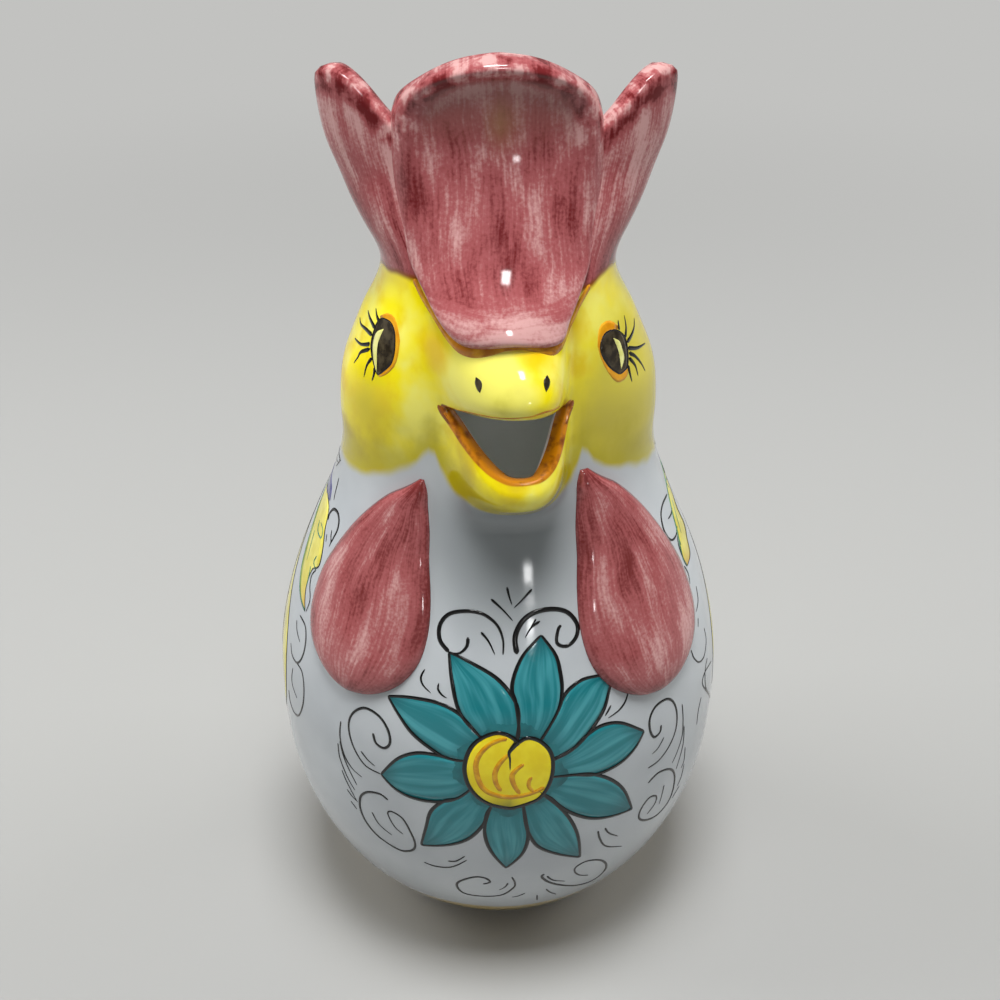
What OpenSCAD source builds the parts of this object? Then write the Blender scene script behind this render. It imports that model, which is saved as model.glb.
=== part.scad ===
// Rooster-shaped pitcher in glazed earthenware.
// The front is -Y, +Z is up, and the origin is the middle of the foot on the table.
// It is filled through the crown of the comb, pours through the open beak, and is held by a loop behind.

/* [Body] */
// Height from the table to the base of the comb
body_h = 208; // [196:1:220]
// Radius of the foot at the table
foot_r = 34; // [30:0.5:38]
// Largest radius of the belly
belly_r = 65; // [60:0.5:70]
// Height of the widest part of the belly
belly_z = 70; // [64:1:76]
// Thickness of the clay wall, measured level
wall = 4.5; // [3.5:0.1:5.5]
// Thickness of the belly's floor
floor_t = 5; // [4:0.5:8]
// Height of the foot under the floor
foot_h = 2.5; // [2:0.1:4]

/* [Head] */
// How far the cheeks lie below the base of the comb
cheek_drop = 38; // [34:1:44]
// Half the width of the head at the cheeks
head_half_w = 39.6; // [37:0.2:43]
// Depth of the head in front of the axis
head_front = 36.2; // [34:0.2:39]
// Depth of the head behind the axis
head_back = 37.5; // [35:0.5:41]
// How far the cheeks stand out
cheek_bulge = 2.5; // [1:0.1:4]
// Half the width of the waist under the comb
waist_half_w = 29.8; // [27:0.2:32]
// Depth of the waist in front of the axis
waist_front = 34; // [32:0.5:36]
// Depth of the waist behind the axis
waist_back = 28.5; // [26:0.5:31]

/* [Beak] */
// How far the corners of the beak lie below the base of the comb
beak_drop = 27; // [24:0.5:29]
// Half the width over which the beak opens
beak_half_w = 17; // [15:0.5:19]
// How far the upper beak stands out from the head
upper_reach = 15.5; // [12:0.5:18]
// How far the lip of the upper beak arches above the corners
upper_rise = 2; // [1:0.5:4]
// How far the lower beak stands out from the head
lower_reach = 15.5; // [12:0.5:18]
// How far the lip of the lower beak drops below the corners
lower_drop = 11; // [8:0.5:14]
// Height over which the throat swells into the lower beak
throat_h = 32; // [28:1:36]
// How far the hand-modelled beak leans to its left
beak_lean = 3; // [0:0.5:4]

/* [Comb] */
// Height of the front petal above the base of the comb
front_petal_h = 53; // [46:1:58]
// Half the width of the front petal
front_petal_half_w = 25.3; // [23:0.1:27]
// Thickness of the front petal
front_petal_t = 6.4; // [5.4:0.2:8]
// Length of the tongue in which the front petal ends over the beak
front_tongue_h = 9; // [7:0.5:11]
// Reach of the tongue in front of the axis
front_tongue_reach = 41.5; // [40:0.5:43]
// Reach of the front petal's upper part in front of the axis
front_petal_reach = 19.5; // [17:0.5:22]
// How far the edges of the front petal bend back
front_petal_sag = 9; // [7:0.5:11]
// Height of the side petals above the base of the comb
side_petal_h = 45.5; // [40:0.5:50]
// Reach of the tip of a side petal from the middle plane
side_petal_reach = 43.3; // [40:0.1:46]
// Thickness of the rim of the comb
side_petal_t = 5.6; // [4.6:0.1:6.6]
// Height of the low rim behind, above the base of the comb
rear_rim_h = 6; // [5:0.5:8]

/* [Wattles] */
// How far a wattle's pointed tip lies below the corners of the beak
wattle_tip_drop = 20; // [18:0.5:23]
// Height of a wattle
wattle_h = 62; // [56:1:64]
// How far a wattle stands out
wattle_relief = 4.2; // [3:0.2:6]
// Angle from the front to the middle of a wattle
wattle_turn = 43; // [41:1:45]

/* [Handle] */
// How far the upper root of the handle lies below the base of the comb
handle_top_drop = 11; // [9:0.5:14]
// Height of the lower root of the handle above the widest part of the belly
handle_low_rise = 37; // [33:0.5:42]
// How far the handle reaches behind the axis
handle_reach = 86; // [82:1:92]
// Width of the handle
handle_w = 16; // [13:0.5:19]
// Thickness of the handle
handle_t = 11; // [9:0.5:12]

/* [Hidden] */
// Facets: turned circles and their rows, columns round the vessel, and rows up the neck and the head
turned_fn = 128;
belly_rows = 24;
columns = 56;
neck_rows = 19;
head_rows = 10;
// How much closer the columns stand in front, and how the rows close up towards the mouth
front_crowding_share = 0.35;
row_crowding = 1.5;
// Facets of the comb, the wattles and the handle
petal_facets = 32;
petal_rows = 20;
crown_columns = 26;
comb_rows = 5;
wattle_rows = 22;
wattle_columns = 12;
handle_facets = 16;
handle_steps = 3;

// Outline from the foot to the belly: share of the height, share of the way from foot_r to belly_r
low_shares = [[0, 0], [0.086, 0.19], [0.2, 0.41], [0.343, 0.64], [0.543, 0.84], [0.77, 0.968], [1, 1]];
// Outline from the belly to the cheeks: share of the height, share of the way from the belly to the head
neck_shares = [[0, 0], [0.18, 0.04], [0.36, 0.205], [0.54, 0.47], [0.72, 0.77], [0.86, 0.93], [1, 1]];
// Outline from the cheeks to the waist under the comb, at the sides and behind
nape_shares = [[0, 0], [0.263, 0.06], [0.553, 0.41], [0.79, 0.81], [1, 1]];
// The same in front, where the brow stays full over the beak
brow_shares = [[0, 0], [0.263, 0.05], [0.553, 0.3], [0.79, 0.7], [1, 1]];
// Levels that follow from the sizes above
cheek_z = body_h - cheek_drop;
beak_z = body_h - beak_drop;
wattle_tip_z = beak_z - wattle_tip_drop;
handle_top_z = body_h - handle_top_drop;
handle_low_z = belly_z + handle_low_rise;
// The round belly ends and the modelled neck begins under the wattles, by a share of their height
neck_base_share = 0.1435;
neck_base_z = wattle_tip_z - (1 + neck_base_share) * wattle_h;

// The cheeks swell round each side of the head: height as a share of the head, place and spread as angles
cheek_h_share = 0.34;
cheek_turn = 75;
cheek_spread = 32;

// Swell of the upper beak from the mouth to the comb, and how much of it the hollow follows
upper_beak_shares = [[0, 0.42], [0.1, 0.8], [0.25, 1], [0.5, 0.86], [0.75, 0.4], [1, 0]];
beak_hollow_share = 0.45;
// Part of the throat's height over which it swells to the beak's full reach
throat_full_share = 0.7;

// Half-width, thickness, lean and bend of the front petal from its tongue to its rim
petal_width_shares = [[0, 0.36], [0.048, 0.51], [0.113, 0.67], [0.2, 0.79], [0.306, 0.91], [0.435, 0.98],
    [0.613, 1], [0.742, 0.985], [0.84, 0.88], [0.911, 0.73], [0.968, 0.43], [1, 0.12]];
petal_thickness_shares = [[0, 2], [0.08, 2.2], [0.145, 1.5], [0.27, 1.1], [0.4, 1], [0.6, 0.95],
    [0.8, 1.05], [0.9, 1.1], [0.96, 0.85], [1, 0.3]];
petal_lean_shares = [[0, 0.95], [0.048, 1], [0.08, 1], [0.137, 0.93], [0.19, 0.8], [0.274, 0.57],
    [0.4, 0.34], [0.53, 0.16], [0.66, 0.045], [0.81, 0], [0.935, 0], [1, -0.1]];
petal_sag_shares = [[0, 2], [0.15, 1.9], [0.35, 1.35], [0.6, 1], [1, 1]];
// How square the section through the front petal is
petal_edge_share = 0.7;

// Flare of the comb's side wall with height, and how its front draws in behind the front petal
flare_shares = [[0, 0], [0.2, 0.27], [0.45, 0.64], [0.65, 0.88], [0.85, 1], [1, 1]];
crown_front_shares = [[0, 0], [0.09, 0.3], [0.18, 0.48], [0.35, 0.72], [0.53, 0.9], [1, 1]];
// Height of the comb's rim from behind the front petal round to the back
rim_shares = [[0.1, 0.5], [0.167, 0.66], [0.222, 0.79], [0.267, 0.9], [0.317, 0.975], [0.378, 1],
    [0.444, 0.975], [0.511, 0.9], [0.578, 0.73], [0.656, 0.46], [0.744, 0.2], [0.861, 0.04], [1, 0]];
// Angle from the front at which a side petal starts, behind the front petal
crown_start = 24;
// The comb's middle moves back and its back wall flares, as shares of the sizes that they follow
crown_shift_share = 0.09;
crown_flare_share = 1.05;
crown_shift = crown_shift_share * side_petal_reach;
crown_front = front_petal_reach - front_petal_t + crown_shift;
crown_back = crown_flare_share * waist_back;

// Inner and outer edge of a wattle from its tip down, as shares of its height and of its angle
wattle_inner_shares = [[0, 0.71], [0.06, 0.67], [0.11, 0.66], [0.23, 0.62], [0.34, 0.6], [0.47, 0.555],
    [0.6, 0.535], [0.73, 0.56], [0.82, 0.62], [0.9, 0.72], [0.97, 0.88], [1, 1.04]];
wattle_outer_shares = [[0, 0.73], [0.06, 0.88], [0.11, 1.02], [0.23, 1.23], [0.34, 1.37], [0.47, 1.48],
    [0.6, 1.545], [0.73, 1.545], [0.82, 1.5], [0.9, 1.4], [0.97, 1.22], [1, 1.06]];

// Middle line of the handle: share of its reach, share of the height between its roots
handle_shares = [[0.24, 0.9], [0.36, 0.99], [0.5, 1.08], [0.65, 1.1], [0.8, 1.01], [0.9, 0.82],
    [0.935, 0.6], [0.91, 0.38], [0.84, 0.2], [0.74, 0.08], [0.6, -0.02]];
// How much wider the handle is at its roots
handle_flare_share = 0.35;

function clamp(v) = min(1, max(0, v));
function smooth(v) = let (c = clamp(v)) c * c * (3 - 2 * c);
function mix(a, b, share) = a + (b - a) * share;

// Smooth curve through the rows [x, y] of a table
function row_below(table, x, i = 0) =
    i >= len(table) - 2 || x <= table[i + 1][0] ? i : row_below(table, x, i + 1);
function slope(table, i) =
    let (a = max(0, i - 1), b = min(len(table) - 1, i + 1))
    (table[b][1] - table[a][1]) / (table[b][0] - table[a][0]);
function curve(table, x) =
    let (
        i = row_below(table, x),
        step = table[i + 1][0] - table[i][0],
        t = (x - table[i][0]) / step,
        lift = table[i + 1][1] - table[i][1]
    )
    table[i][1] + lift * t * t * (3 - 2 * t)
        + step * slope(table, i) * t * (1 - t) * (1 - t)
        - step * slope(table, i + 1) * t * t * (1 - t);

// Reach of the vessel's outline at height z, given its reach at the head and at the waist
function reach(z, head, waist, top_shares) =
    z < belly_z ? mix(foot_r, belly_r, curve(low_shares, z / belly_z))
    : z < cheek_z ? mix(belly_r, head, curve(neck_shares, (z - belly_z) / (cheek_z - belly_z)))
    : mix(head, waist, curve(top_shares, (z - cheek_z) / (body_h - cheek_z)));
function round_reach(z) = reach(z, head_half_w, waist_half_w, nape_shares);

function cheek(u, z) = cheek_bulge
    * exp(-pow((z - cheek_z) / (cheek_h_share * (body_h - cheek_z)), 2))
    * exp(-pow((abs(u) - cheek_turn) / cheek_spread, 2));

// Point of the vessel's skin without its beak, at angle u from the front, sunk inwards by depth
function plain(u, z, depth) =
    let (
        oval = smooth(2 * (z - neck_base_z) / belly_z),
        bulge = cheek(u, z) - depth,
        side = round_reach(z) + bulge,
        front = reach(z, mix(head_half_w, head_front, oval), waist_front, brow_shares) + bulge,
        back = reach(z, mix(head_half_w, head_back, oval), waist_back, nape_shares) + bulge
    )
    [side * sin(u), -cos(u) * (cos(u) > 0 ? front : back), z];

// How strongly a point at distance x from the middle plane follows the beak
function beak_pull(u, x) =
    abs(u) > 90 || abs(x) >= beak_half_w ? 0 : pow(1 - pow(abs(x) / beak_half_w, 2.5), 1.1);

// Skin below the mouth, with the throat swelling into the scoop of the lower beak
function neck_point(u, z, depth) =
    let (
        pull = beak_pull(u, plain(u, z, 0)[0]),
        rise = clamp((z - beak_z + throat_h) / throat_h),
        swell = pull * smooth(rise / throat_full_share)
    )
    plain(u, z, depth) + [beak_lean * swell, -lower_reach * swell, -lower_drop * pull * pow(rise, 1.3)];

// Skin above the mouth, with the brow swelling into the upper beak
function head_point(u, z, depth) =
    let (
        share = (z - beak_z) / (body_h - beak_z),
        pull = beak_pull(u, plain(u, z, 0)[0]),
        swell = pull * curve(upper_beak_shares, share) * (depth > 0 ? beak_hollow_share : 1)
    )
    plain(u, z, depth) + [beak_lean * swell, -upper_reach * swell, upper_rise * pull * (1 - share)];

// Angle of column i, with the columns closer together at the front
function turn(i) =
    let (share = 2 * i / columns - 1)
    180 * (share - front_crowding_share * sin(180 * share) / PI);

function neck_sheet(depth) = [
    for (j = [0:neck_rows])
        let (z = mix(beak_z, neck_base_z, pow(1 - j / neck_rows, row_crowding)))
        [for (i = [0:columns - 1]) neck_point(turn(i), z, depth)]
];
function head_sheet(depth) = [
    for (j = [0:head_rows])
        let (z = mix(beak_z, body_h, pow(j / head_rows, row_crowding)))
        [for (i = [0:columns - 1]) head_point(turn(i), z, depth)]
];

// Shell between an outer and an inner sheet of points, each given as rows that run right round
module round_shell(outer, inner) {
    rows = len(outer);
    count = len(outer[0]);
    sheet = rows * count;
    top = sheet - count;
    polyhedron([each for (row = outer) row, each for (row = inner) row], [
        for (j = [0:rows - 2], i = [0:count - 1])
            let (k = (i + 1) % count, a = j * count + i, b = j * count + k, c = a + count, d = b + count)
            each [[a, c, b], [b, c, d], [a + sheet, b + sheet, c + sheet], [b + sheet, d + sheet, c + sheet]],
        for (i = [0:count - 1])
            let (k = (i + 1) % count)
            each [[i, k, i + sheet], [k, k + sheet, i + sheet],
                [top + i, top + i + sheet, top + k], [top + k, top + i + sheet, top + k + sheet]]
    ]);
}

// Solid inside one sheet of rows that run right round, with flat ends
module round_solid(rows) {
    count = len(rows[0]);
    last = len(rows) - 1;
    polyhedron([each for (row = rows) row], [
        for (j = [0:last - 1], i = [0:count - 1])
            let (k = (i + 1) % count, a = j * count + i, b = j * count + k)
            each [[a, a + count, b], [b, a + count, b + count]],
        [for (i = [0:count - 1]) i],
        [for (i = [count - 1:-1:0]) last * count + i]
    ]);
}

// Solid inside the round belly, which cuts what is seated on it
module belly_core() round_solid([
    for (j = [0:belly_rows])
        let (z = mix(foot_h, neck_base_z, j / belly_rows), r = round_reach(z))
        [for (i = [0:turned_fn - 1]) [r * sin(360 * i / turned_fn), -r * cos(360 * i / turned_fn), z]]
]);

// Turned foot, with its lower edge taken off
module foot() color("khaki") rotate_extrude($fn = turned_fn) polygon([
    [0, 0], [foot_r - foot_h / 2, 0], [foot_r, foot_h / 2], [round_reach(foot_h), foot_h], [0, foot_h]
]);

// Round lower vessel, closed by its floor
module belly_shell() color("aliceblue") rotate_extrude($fn = turned_fn) polygon([
    [0, foot_h],
    for (j = [0:belly_rows])
        let (z = mix(foot_h, neck_base_z, j / belly_rows)) [round_reach(z), z],
    for (j = [belly_rows:-1:0])
        let (z = mix(foot_h + floor_t, neck_base_z, j / belly_rows)) [round_reach(z) - wall, z],
    [0, foot_h + floor_t]
]);

// Neck and chest, with the scoop of the lower beak
module neck_shell() color("white") round_shell(neck_sheet(0), neck_sheet(wall));

// Head from the mouth to the comb, with the upper beak
module head_shell() color("gold") round_shell(head_sheet(0), head_sheet(wall));

// Ring round the front petal at one share of its height
function square_off(v) = sign(v) * pow(abs(v), petal_edge_share);
function front_petal_ring(share) =
    let (
        half_w = front_petal_half_w * curve(petal_width_shares, share),
        half_t = front_petal_t * curve(petal_thickness_shares, share) / 2,
        front = mix(front_petal_reach, front_tongue_reach, curve(petal_lean_shares, share)),
        sag = front_petal_sag * curve(petal_sag_shares, share),
        z = mix(body_h - front_tongue_h, body_h + front_petal_h, share)
    )
    [
        for (i = [0:petal_facets - 1])
            let (
                a = 360 * i / petal_facets,
                x = half_w * square_off(cos(a)),
                y = half_t * (1 + square_off(sin(a))) - front
            )
            [x, y + sag * pow(x / front_petal_half_w, 2), z]
    ];

module front_petal_solid() round_solid([
    for (j = [0:petal_rows]) front_petal_ring(0.5 - 0.5 * cos(180 * j / petal_rows))
]);

// Tall petal in front, seated on the brow and on the rim of the head
module comb_front_petal() color("indianred") difference() {
    front_petal_solid();
    round_solid(head_sheet(0));
}

// Point of the comb's outer wall at angle u and level z, sunk inwards by depth
function crown_point(u, z, depth) =
    let (
        share = (z - body_h) / side_petal_h,
        middle = crown_shift * smooth(share),
        side = mix(waist_half_w, side_petal_reach, curve(flare_shares, share)) - depth,
        front = mix(waist_front, crown_front, curve(crown_front_shares, share)) - depth,
        back = mix(waist_back, crown_back, smooth(share)) - depth
    )
    [side * sin(u), middle - cos(u) * (cos(u) > 0 ? front : back), z];

// Section through the comb's wall at angle u: up the outside, over the rim and down the inside
function crown_section(u) =
    let (
        half_t = side_petal_t / 2,
        top = body_h + mix(rear_rim_h, side_petal_h, curve(rim_shares, u / 180)) - half_t
    )
    [
        for (j = [0:comb_rows])
            crown_point(u, mix(body_h, top, j / comb_rows), 0),
        for (a = [45, 90, 135])
            crown_point(u, top + half_t * sin(a), half_t * (1 - cos(a))),
        for (j = [comb_rows:-1:0])
            crown_point(u, mix(body_h, top, j / comb_rows), mix(wall, side_petal_t, j / comb_rows))
    ];

// Side petal, running from behind the front petal down to the low rim at the back
module side_petal_solid() round_solid([
    for (i = [0:crown_columns]) crown_section(mix(180, crown_start, i / crown_columns))
]);

module comb_left_petal() color("brown") difference() {
    mirror([1, 0, 0]) side_petal_solid();
    front_petal_solid();
}

module comb_right_petal() color("brown") difference() {
    side_petal_solid();
    front_petal_solid();
}

// Ring through a wattle at one share of its height: its domed face, then its back inside the wall
function wattle_ring(share) =
    let (
        z = wattle_tip_z - wattle_h * share,
        inner = wattle_turn * curve(wattle_inner_shares, share),
        outer = wattle_turn * curve(wattle_outer_shares, share),
        relief = wattle_relief * sqrt(1 - pow(abs(2 * share - 1), 6))
    )
    [
        for (i = [0:wattle_columns])
            let (t = 0.5 - 0.5 * cos(180 * i / wattle_columns), dome = pow(1 - pow(abs(2 * t - 1), 3), 0.6))
            neck_point(mix(inner, outer, t), z, -relief * dome),
        for (i = [wattle_columns:-1:0])
            neck_point(mix(inner, outer, 0.5 - 0.5 * cos(180 * i / wattle_columns)), z, wall / 2)
    ];

// Fleshy lobe modelled on the chest, beside the beak
module wattle_solid() round_solid([
    for (j = [wattle_rows:-1:0]) wattle_ring(0.5 - 0.5 * cos(180 * j / wattle_rows))
]);

module wattle_left() color("firebrick") difference() {
    mirror([1, 0, 0]) wattle_solid();
    round_solid(neck_sheet(0));
    belly_core();
}

module wattle_right() color("firebrick") difference() {
    wattle_solid();
    round_solid(neck_sheet(0));
    belly_core();
}

// Middle line of the handle at parameter v, which counts the rows of its table
function spline(a, b, c, d, t) =
    0.5 * (2 * b + (c - a) * t + (2 * a - 5 * b + 4 * c - d) * t * t + (3 * b - a - 3 * c + d) * t * t * t);
function handle_share(i) = handle_shares[min(len(handle_shares) - 1, max(0, i))];
function handle_line(v) =
    let (
        i = min(len(handle_shares) - 2, floor(v)),
        p = spline(handle_share(i - 1), handle_share(i), handle_share(i + 1), handle_share(i + 2), v - i)
    )
    [p[0] * handle_reach, mix(handle_low_z, handle_top_z, p[1])];

// Oval ring round the handle's middle line, wider towards the roots
function handle_ring(v) =
    let (
        last = len(handle_shares) - 1,
        middle = handle_line(v),
        ahead = handle_line(min(last, v + 0.05)) - handle_line(max(0, v - 0.05)),
        way = ahead / norm(ahead),
        size = 1 + handle_flare_share * pow(abs(2 * v / last - 1), 4)
    )
    [
        for (i = [0:handle_facets - 1])
            let (
                a = -360 * i / handle_facets,
                across = size * handle_w / 2 * cos(a),
                out = size * handle_t / 2 * sin(a)
            )
            [across, middle[0] - way[1] * out, middle[1] + way[0] * out]
    ];

// Loop handle, joined to the head above and to the neck below
module handle() color("gold") difference() {
    round_solid([for (j = [0:handle_steps * (len(handle_shares) - 1)]) handle_ring(j / handle_steps)]);
    belly_core();
    round_solid(neck_sheet(0));
    round_solid(head_sheet(0));
}

foot();
belly_shell();
neck_shell();
head_shell();
comb_front_petal();
comb_left_petal();
comb_right_petal();
wattle_left();
wattle_right();
handle();
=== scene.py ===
# Rooster-shaped pitcher in painted majolica: tin-glazed earthenware with brushed colours.
import math

import bmesh
import bpy
from mathutils import Euler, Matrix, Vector
from mathutils.bvhtree import BVHTree


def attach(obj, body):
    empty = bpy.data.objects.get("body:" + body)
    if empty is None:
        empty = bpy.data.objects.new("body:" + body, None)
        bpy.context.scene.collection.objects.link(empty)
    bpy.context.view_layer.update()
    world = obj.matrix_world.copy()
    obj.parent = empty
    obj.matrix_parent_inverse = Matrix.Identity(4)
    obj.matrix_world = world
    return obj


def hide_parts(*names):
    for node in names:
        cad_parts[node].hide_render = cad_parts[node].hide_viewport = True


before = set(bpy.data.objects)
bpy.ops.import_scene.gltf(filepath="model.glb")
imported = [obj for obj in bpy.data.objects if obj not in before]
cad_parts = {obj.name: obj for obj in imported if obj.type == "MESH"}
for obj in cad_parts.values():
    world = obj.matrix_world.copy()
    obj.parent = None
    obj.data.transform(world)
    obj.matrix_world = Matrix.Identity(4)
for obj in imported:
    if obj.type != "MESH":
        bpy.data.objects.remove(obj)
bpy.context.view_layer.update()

# Camera
# It stands where the photograph was taken: 0.4 m from the neck, 34 degrees above it and a little to
# the left. A ray through a pixel of the 1000 x 1000 picture finds where a brush stroke lies.
MM = 0.001
PICTURE = 1000
FOCAL_PIXELS = 1421
MIDDLE_PIXEL = (498, 500)
LOOK_AT = Vector((0, 0, 0.131))
camera_distance = 0.4
camera_turn = -3.3
camera_height = 34


def set_up(name, data, looks_at, distance, turn, height):
    """Camera or lamp that looks at a point from a distance, turned from the front and raised in degrees."""
    way = Vector((0, -math.cos(math.radians(height)), math.sin(math.radians(height))))
    way.rotate(Euler((0, 0, math.radians(turn))))
    made = bpy.data.objects.new(name, data)
    made.location = looks_at + distance * way
    made.rotation_euler = (-way).to_track_quat("-Z", "Y").to_euler()
    bpy.context.scene.collection.objects.link(made)
    return made, way


camera_data = bpy.data.cameras.new("camera")
camera_data.sensor_width = 36
camera_data.lens = camera_data.sensor_width * FOCAL_PIXELS / PICTURE
camera_data.shift_x = 0.5 - MIDDLE_PIXEL[0] / PICTURE
camera, camera_away = set_up("camera", camera_data, LOOK_AT, camera_distance, camera_turn, camera_height)
bpy.context.scene.camera = camera
camera_frame = camera_away.to_track_quat("Z", "Y")


def pixel_ray(x, y):
    """Direction from the camera through a pixel of the picture."""
    across = (x - MIDDLE_PIXEL[0]) / FOCAL_PIXELS
    down = (y - MIDDLE_PIXEL[1]) / FOCAL_PIXELS
    return (camera_frame @ Vector((across, -down, -1))).normalized()


# Floor and studio light
# A plain pale floor under a large soft lamp overhead and two weaker ones at the sides, so that the chest
# falls into shade under the beak. A small weak one in front reaches into the beak, and two window panes
# and a ceiling lamp only give the glaze its glints.
def linear(code):
    """Linear colour of an sRGB hex code."""
    parts = [int(code[i:i + 2], 16) / 255 for i in (0, 2, 4)]
    return [p / 12.92 if p <= 0.04045 else ((p + 0.055) / 1.055) ** 2.4 for p in parts] + [1]


def add(tree, kind, inputs=None, **settings):
    """Adds a node with its settings and inputs: values, hex colours, or other nodes and their outputs."""
    new = tree.nodes.new("ShaderNode" + kind)
    for name, value in settings.items():
        setattr(new, name, value)
    for name, value in (inputs or {}).items():
        if isinstance(value, bpy.types.Node):
            value = value.outputs[0]
        if isinstance(value, bpy.types.NodeSocket):
            tree.links.new(value, new.inputs[name])
        else:
            new.inputs[name].default_value = linear(value) if isinstance(value, str) else value
    return new


def new_material(name):
    """Empty material and its node tree."""
    material = bpy.data.materials.new(name)
    material.use_nodes = True
    material.node_tree.nodes.clear()
    return material, material.node_tree


floor_half = 4
fade_start = 0.3
fade_end = 0.8
FLOOR_COLOUR = "A6A6A4"
BACKDROP_COLOUR = "C2C2C0"
ROOM_COLOUR = "8C9094"
room_strength = 0.2
backdrop_in_gloss = 0.35
LAMPS_AIM = Vector((0, 0, 0.16))
bm = bmesh.new()
bmesh.ops.create_grid(bm, x_segments=1, y_segments=1, size=floor_half)
floor_mesh = bpy.data.meshes.new("floor")
bm.to_mesh(floor_mesh)
bm.free()
floor = bpy.data.objects.new("floor", floor_mesh)
bpy.context.scene.collection.objects.link(floor)

# Matt painted board, pale and even, so that only the shadow shows on it. Far from the pitcher it passes
# into the plain backdrop, for the camera alone.
material, tree = new_material("matt_painted_board")
board = add(tree, "BsdfPrincipled", {"Base Color": FLOOR_COLOUR, "Roughness": 0.9})
plain = add(tree, "Emission", {"Color": BACKDROP_COLOUR, "Strength": 1.0})
middle = add(tree, "TexCoord").outputs["Object"]
distance = add(tree, "VectorMath", {0: middle}, operation="LENGTH").outputs["Value"]
far = add(tree, "MapRange", {"Value": distance, "From Min": fade_start, "From Max": fade_end},
          interpolation_type="SMOOTHSTEP")
seen = add(tree, "LightPath").outputs["Is Camera Ray"]
share = add(tree, "Math", {0: far, 1: seen}, operation="MULTIPLY")
faded = add(tree, "MixShader", {0: share, 1: board, 2: plain})
add(tree, "OutputMaterial", {"Surface": faded})
floor_mesh.materials.append(material)

# Plain backdrop for the camera and through glass, a third of it in the gloss, and a dim room for the light
world = bpy.data.worlds.new("studio")
world.use_nodes = True
tree = world.node_tree
tree.nodes.clear()
room = add(tree, "Background", {"Color": ROOM_COLOUR, "Strength": room_strength})
backdrop = add(tree, "Background", {"Color": BACKDROP_COLOUR, "Strength": 1.0})
path = add(tree, "LightPath")
seen_through = add(tree, "Math", {0: path.outputs["Is Transmission Ray"], 1: path.outputs["Is Camera Ray"]},
                   operation="ADD")
looked_at = add(tree, "Math", {0: path.outputs["Is Glossy Ray"], 1: backdrop_in_gloss, 2: seen_through},
                operation="MULTIPLY_ADD", use_clamp=True)
both = add(tree, "MixShader", {0: looked_at, 1: room, 2: backdrop})
add(tree, "OutputWorld", {"Surface": both})
bpy.context.scene.world = world
bpy.context.scene.view_settings.view_transform = "Standard"

# Name, distance, angle from the front and height in degrees, width and height in metres, watts
SOFT_LAMPS = [
    ("overhead_lamp", 1.3, 0, 82, 0.5, 0.5, 21.5),
    ("left_lamp", 1.1, -108, 33, 0.7, 0.7, 7.6),
    ("right_lamp", 1.1, 110, 28, 0.7, 0.7, 6.0),
    ("front_lamp", 1.2, -4, 33, 0.35, 0.35, 1.6),
]
GLINT_LAMPS = [
    ("low_pane", 1.5, 14, 10.2, 0.1, 0.08, 0.5),
    ("high_pane", 1.2, 9, 56.5, 0.13, 0.2, 2.6),
    ("ceiling_lamp", 1.1, 0, 86, 0.3, 0.1, 4.5),
]
for row in SOFT_LAMPS + GLINT_LAMPS:
    name, distance, turn, height, width, tall, watts = row
    lamp_data = bpy.data.lights.new(name, "AREA")
    lamp_data.shape = "RECTANGLE"
    lamp_data.size = width
    lamp_data.size_y = tall
    lamp_data.energy = watts
    lamp, way = set_up(name, lamp_data, LAMPS_AIM, distance, turn, height)
    lamp.visible_glossy = row in GLINT_LAMPS
    lamp.visible_diffuse = row in SOFT_LAMPS


# Cast body
# The vessel from its foot to the rim of the comb, slip-cast in one piece: round belly, chest, open
# beak, head, and the side petals of the comb round the filling mouth. It is dipped in a bluish white
# tin glaze, and the head, the lips and the comb are brushed over it in yellow, orange and wine red.
def clamp(value):
    return min(1.0, max(0.0, value))


def smooth(value):
    return clamp(value) ** 2 * (3 - 2 * clamp(value))


def bell(value, width):
    return math.exp(-(value / width) ** 2)


def mix(a, b, share):
    return a + (b - a) * share


def curve(table, x):
    """Smooth curve through the rows (x, y) of a table, level beyond its ends."""
    x = min(max(x, table[0][0]), table[-1][0])
    last = len(table) - 1
    i = 0
    while i < last - 1 and x > table[i + 1][0]:
        i += 1

    def slope(k):
        a, b = max(0, k - 1), min(last, k + 1)
        return (table[b][1] - table[a][1]) / (table[b][0] - table[a][0])

    step = table[i + 1][0] - table[i][0]
    t = (x - table[i][0]) / step
    rise = table[i + 1][1] - table[i][1]
    return (table[i][1] + rise * t * t * (3 - 2 * t)
            + step * slope(i) * t * (1 - t) ** 2 - step * slope(i + 1) * t * t * (1 - t))


# Sizes in millimetres and degrees
foot_r = 34
foot_h = 2.5
belly_r = 64.8
belly_z = 70
neck_base_z = 90
cheek_z = 170
beak_z = 181
body_h = 208
head_half_w = 39.6
head_front = 36.2
head_back = 37.5
cheek_bulge = 2.5
cheek_bulge_h = 12.9
cheek_bulge_turn = 75
cheek_bulge_w = 32
left_beak_half_w = 15.3
left_snout_half_w = 19
right_beak_half_w = 15.6
snout_rise = 16
beak_fullness = 2.8
snout_fullness = 2.1
beak_ridge = 1.1
lower_scoop = 1.3
upper_reach = 15.5
upper_rise = 2
lower_reach = 15.5
lower_drop = 11.3
lip_roll = 2
lip_roll_start = 0.8
lip_w = 3
throat_h = 32
throat_full = 0.7
beak_lean = 3
crown_shift = 3.9
side_petal_h = 45.5
rim_wall = 6.4
rim_wall_h = 9
mottled_rim_w = 8
left_rise = 1.2
wall_thinning = 0.7
mouth_thinning = 0.58

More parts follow.
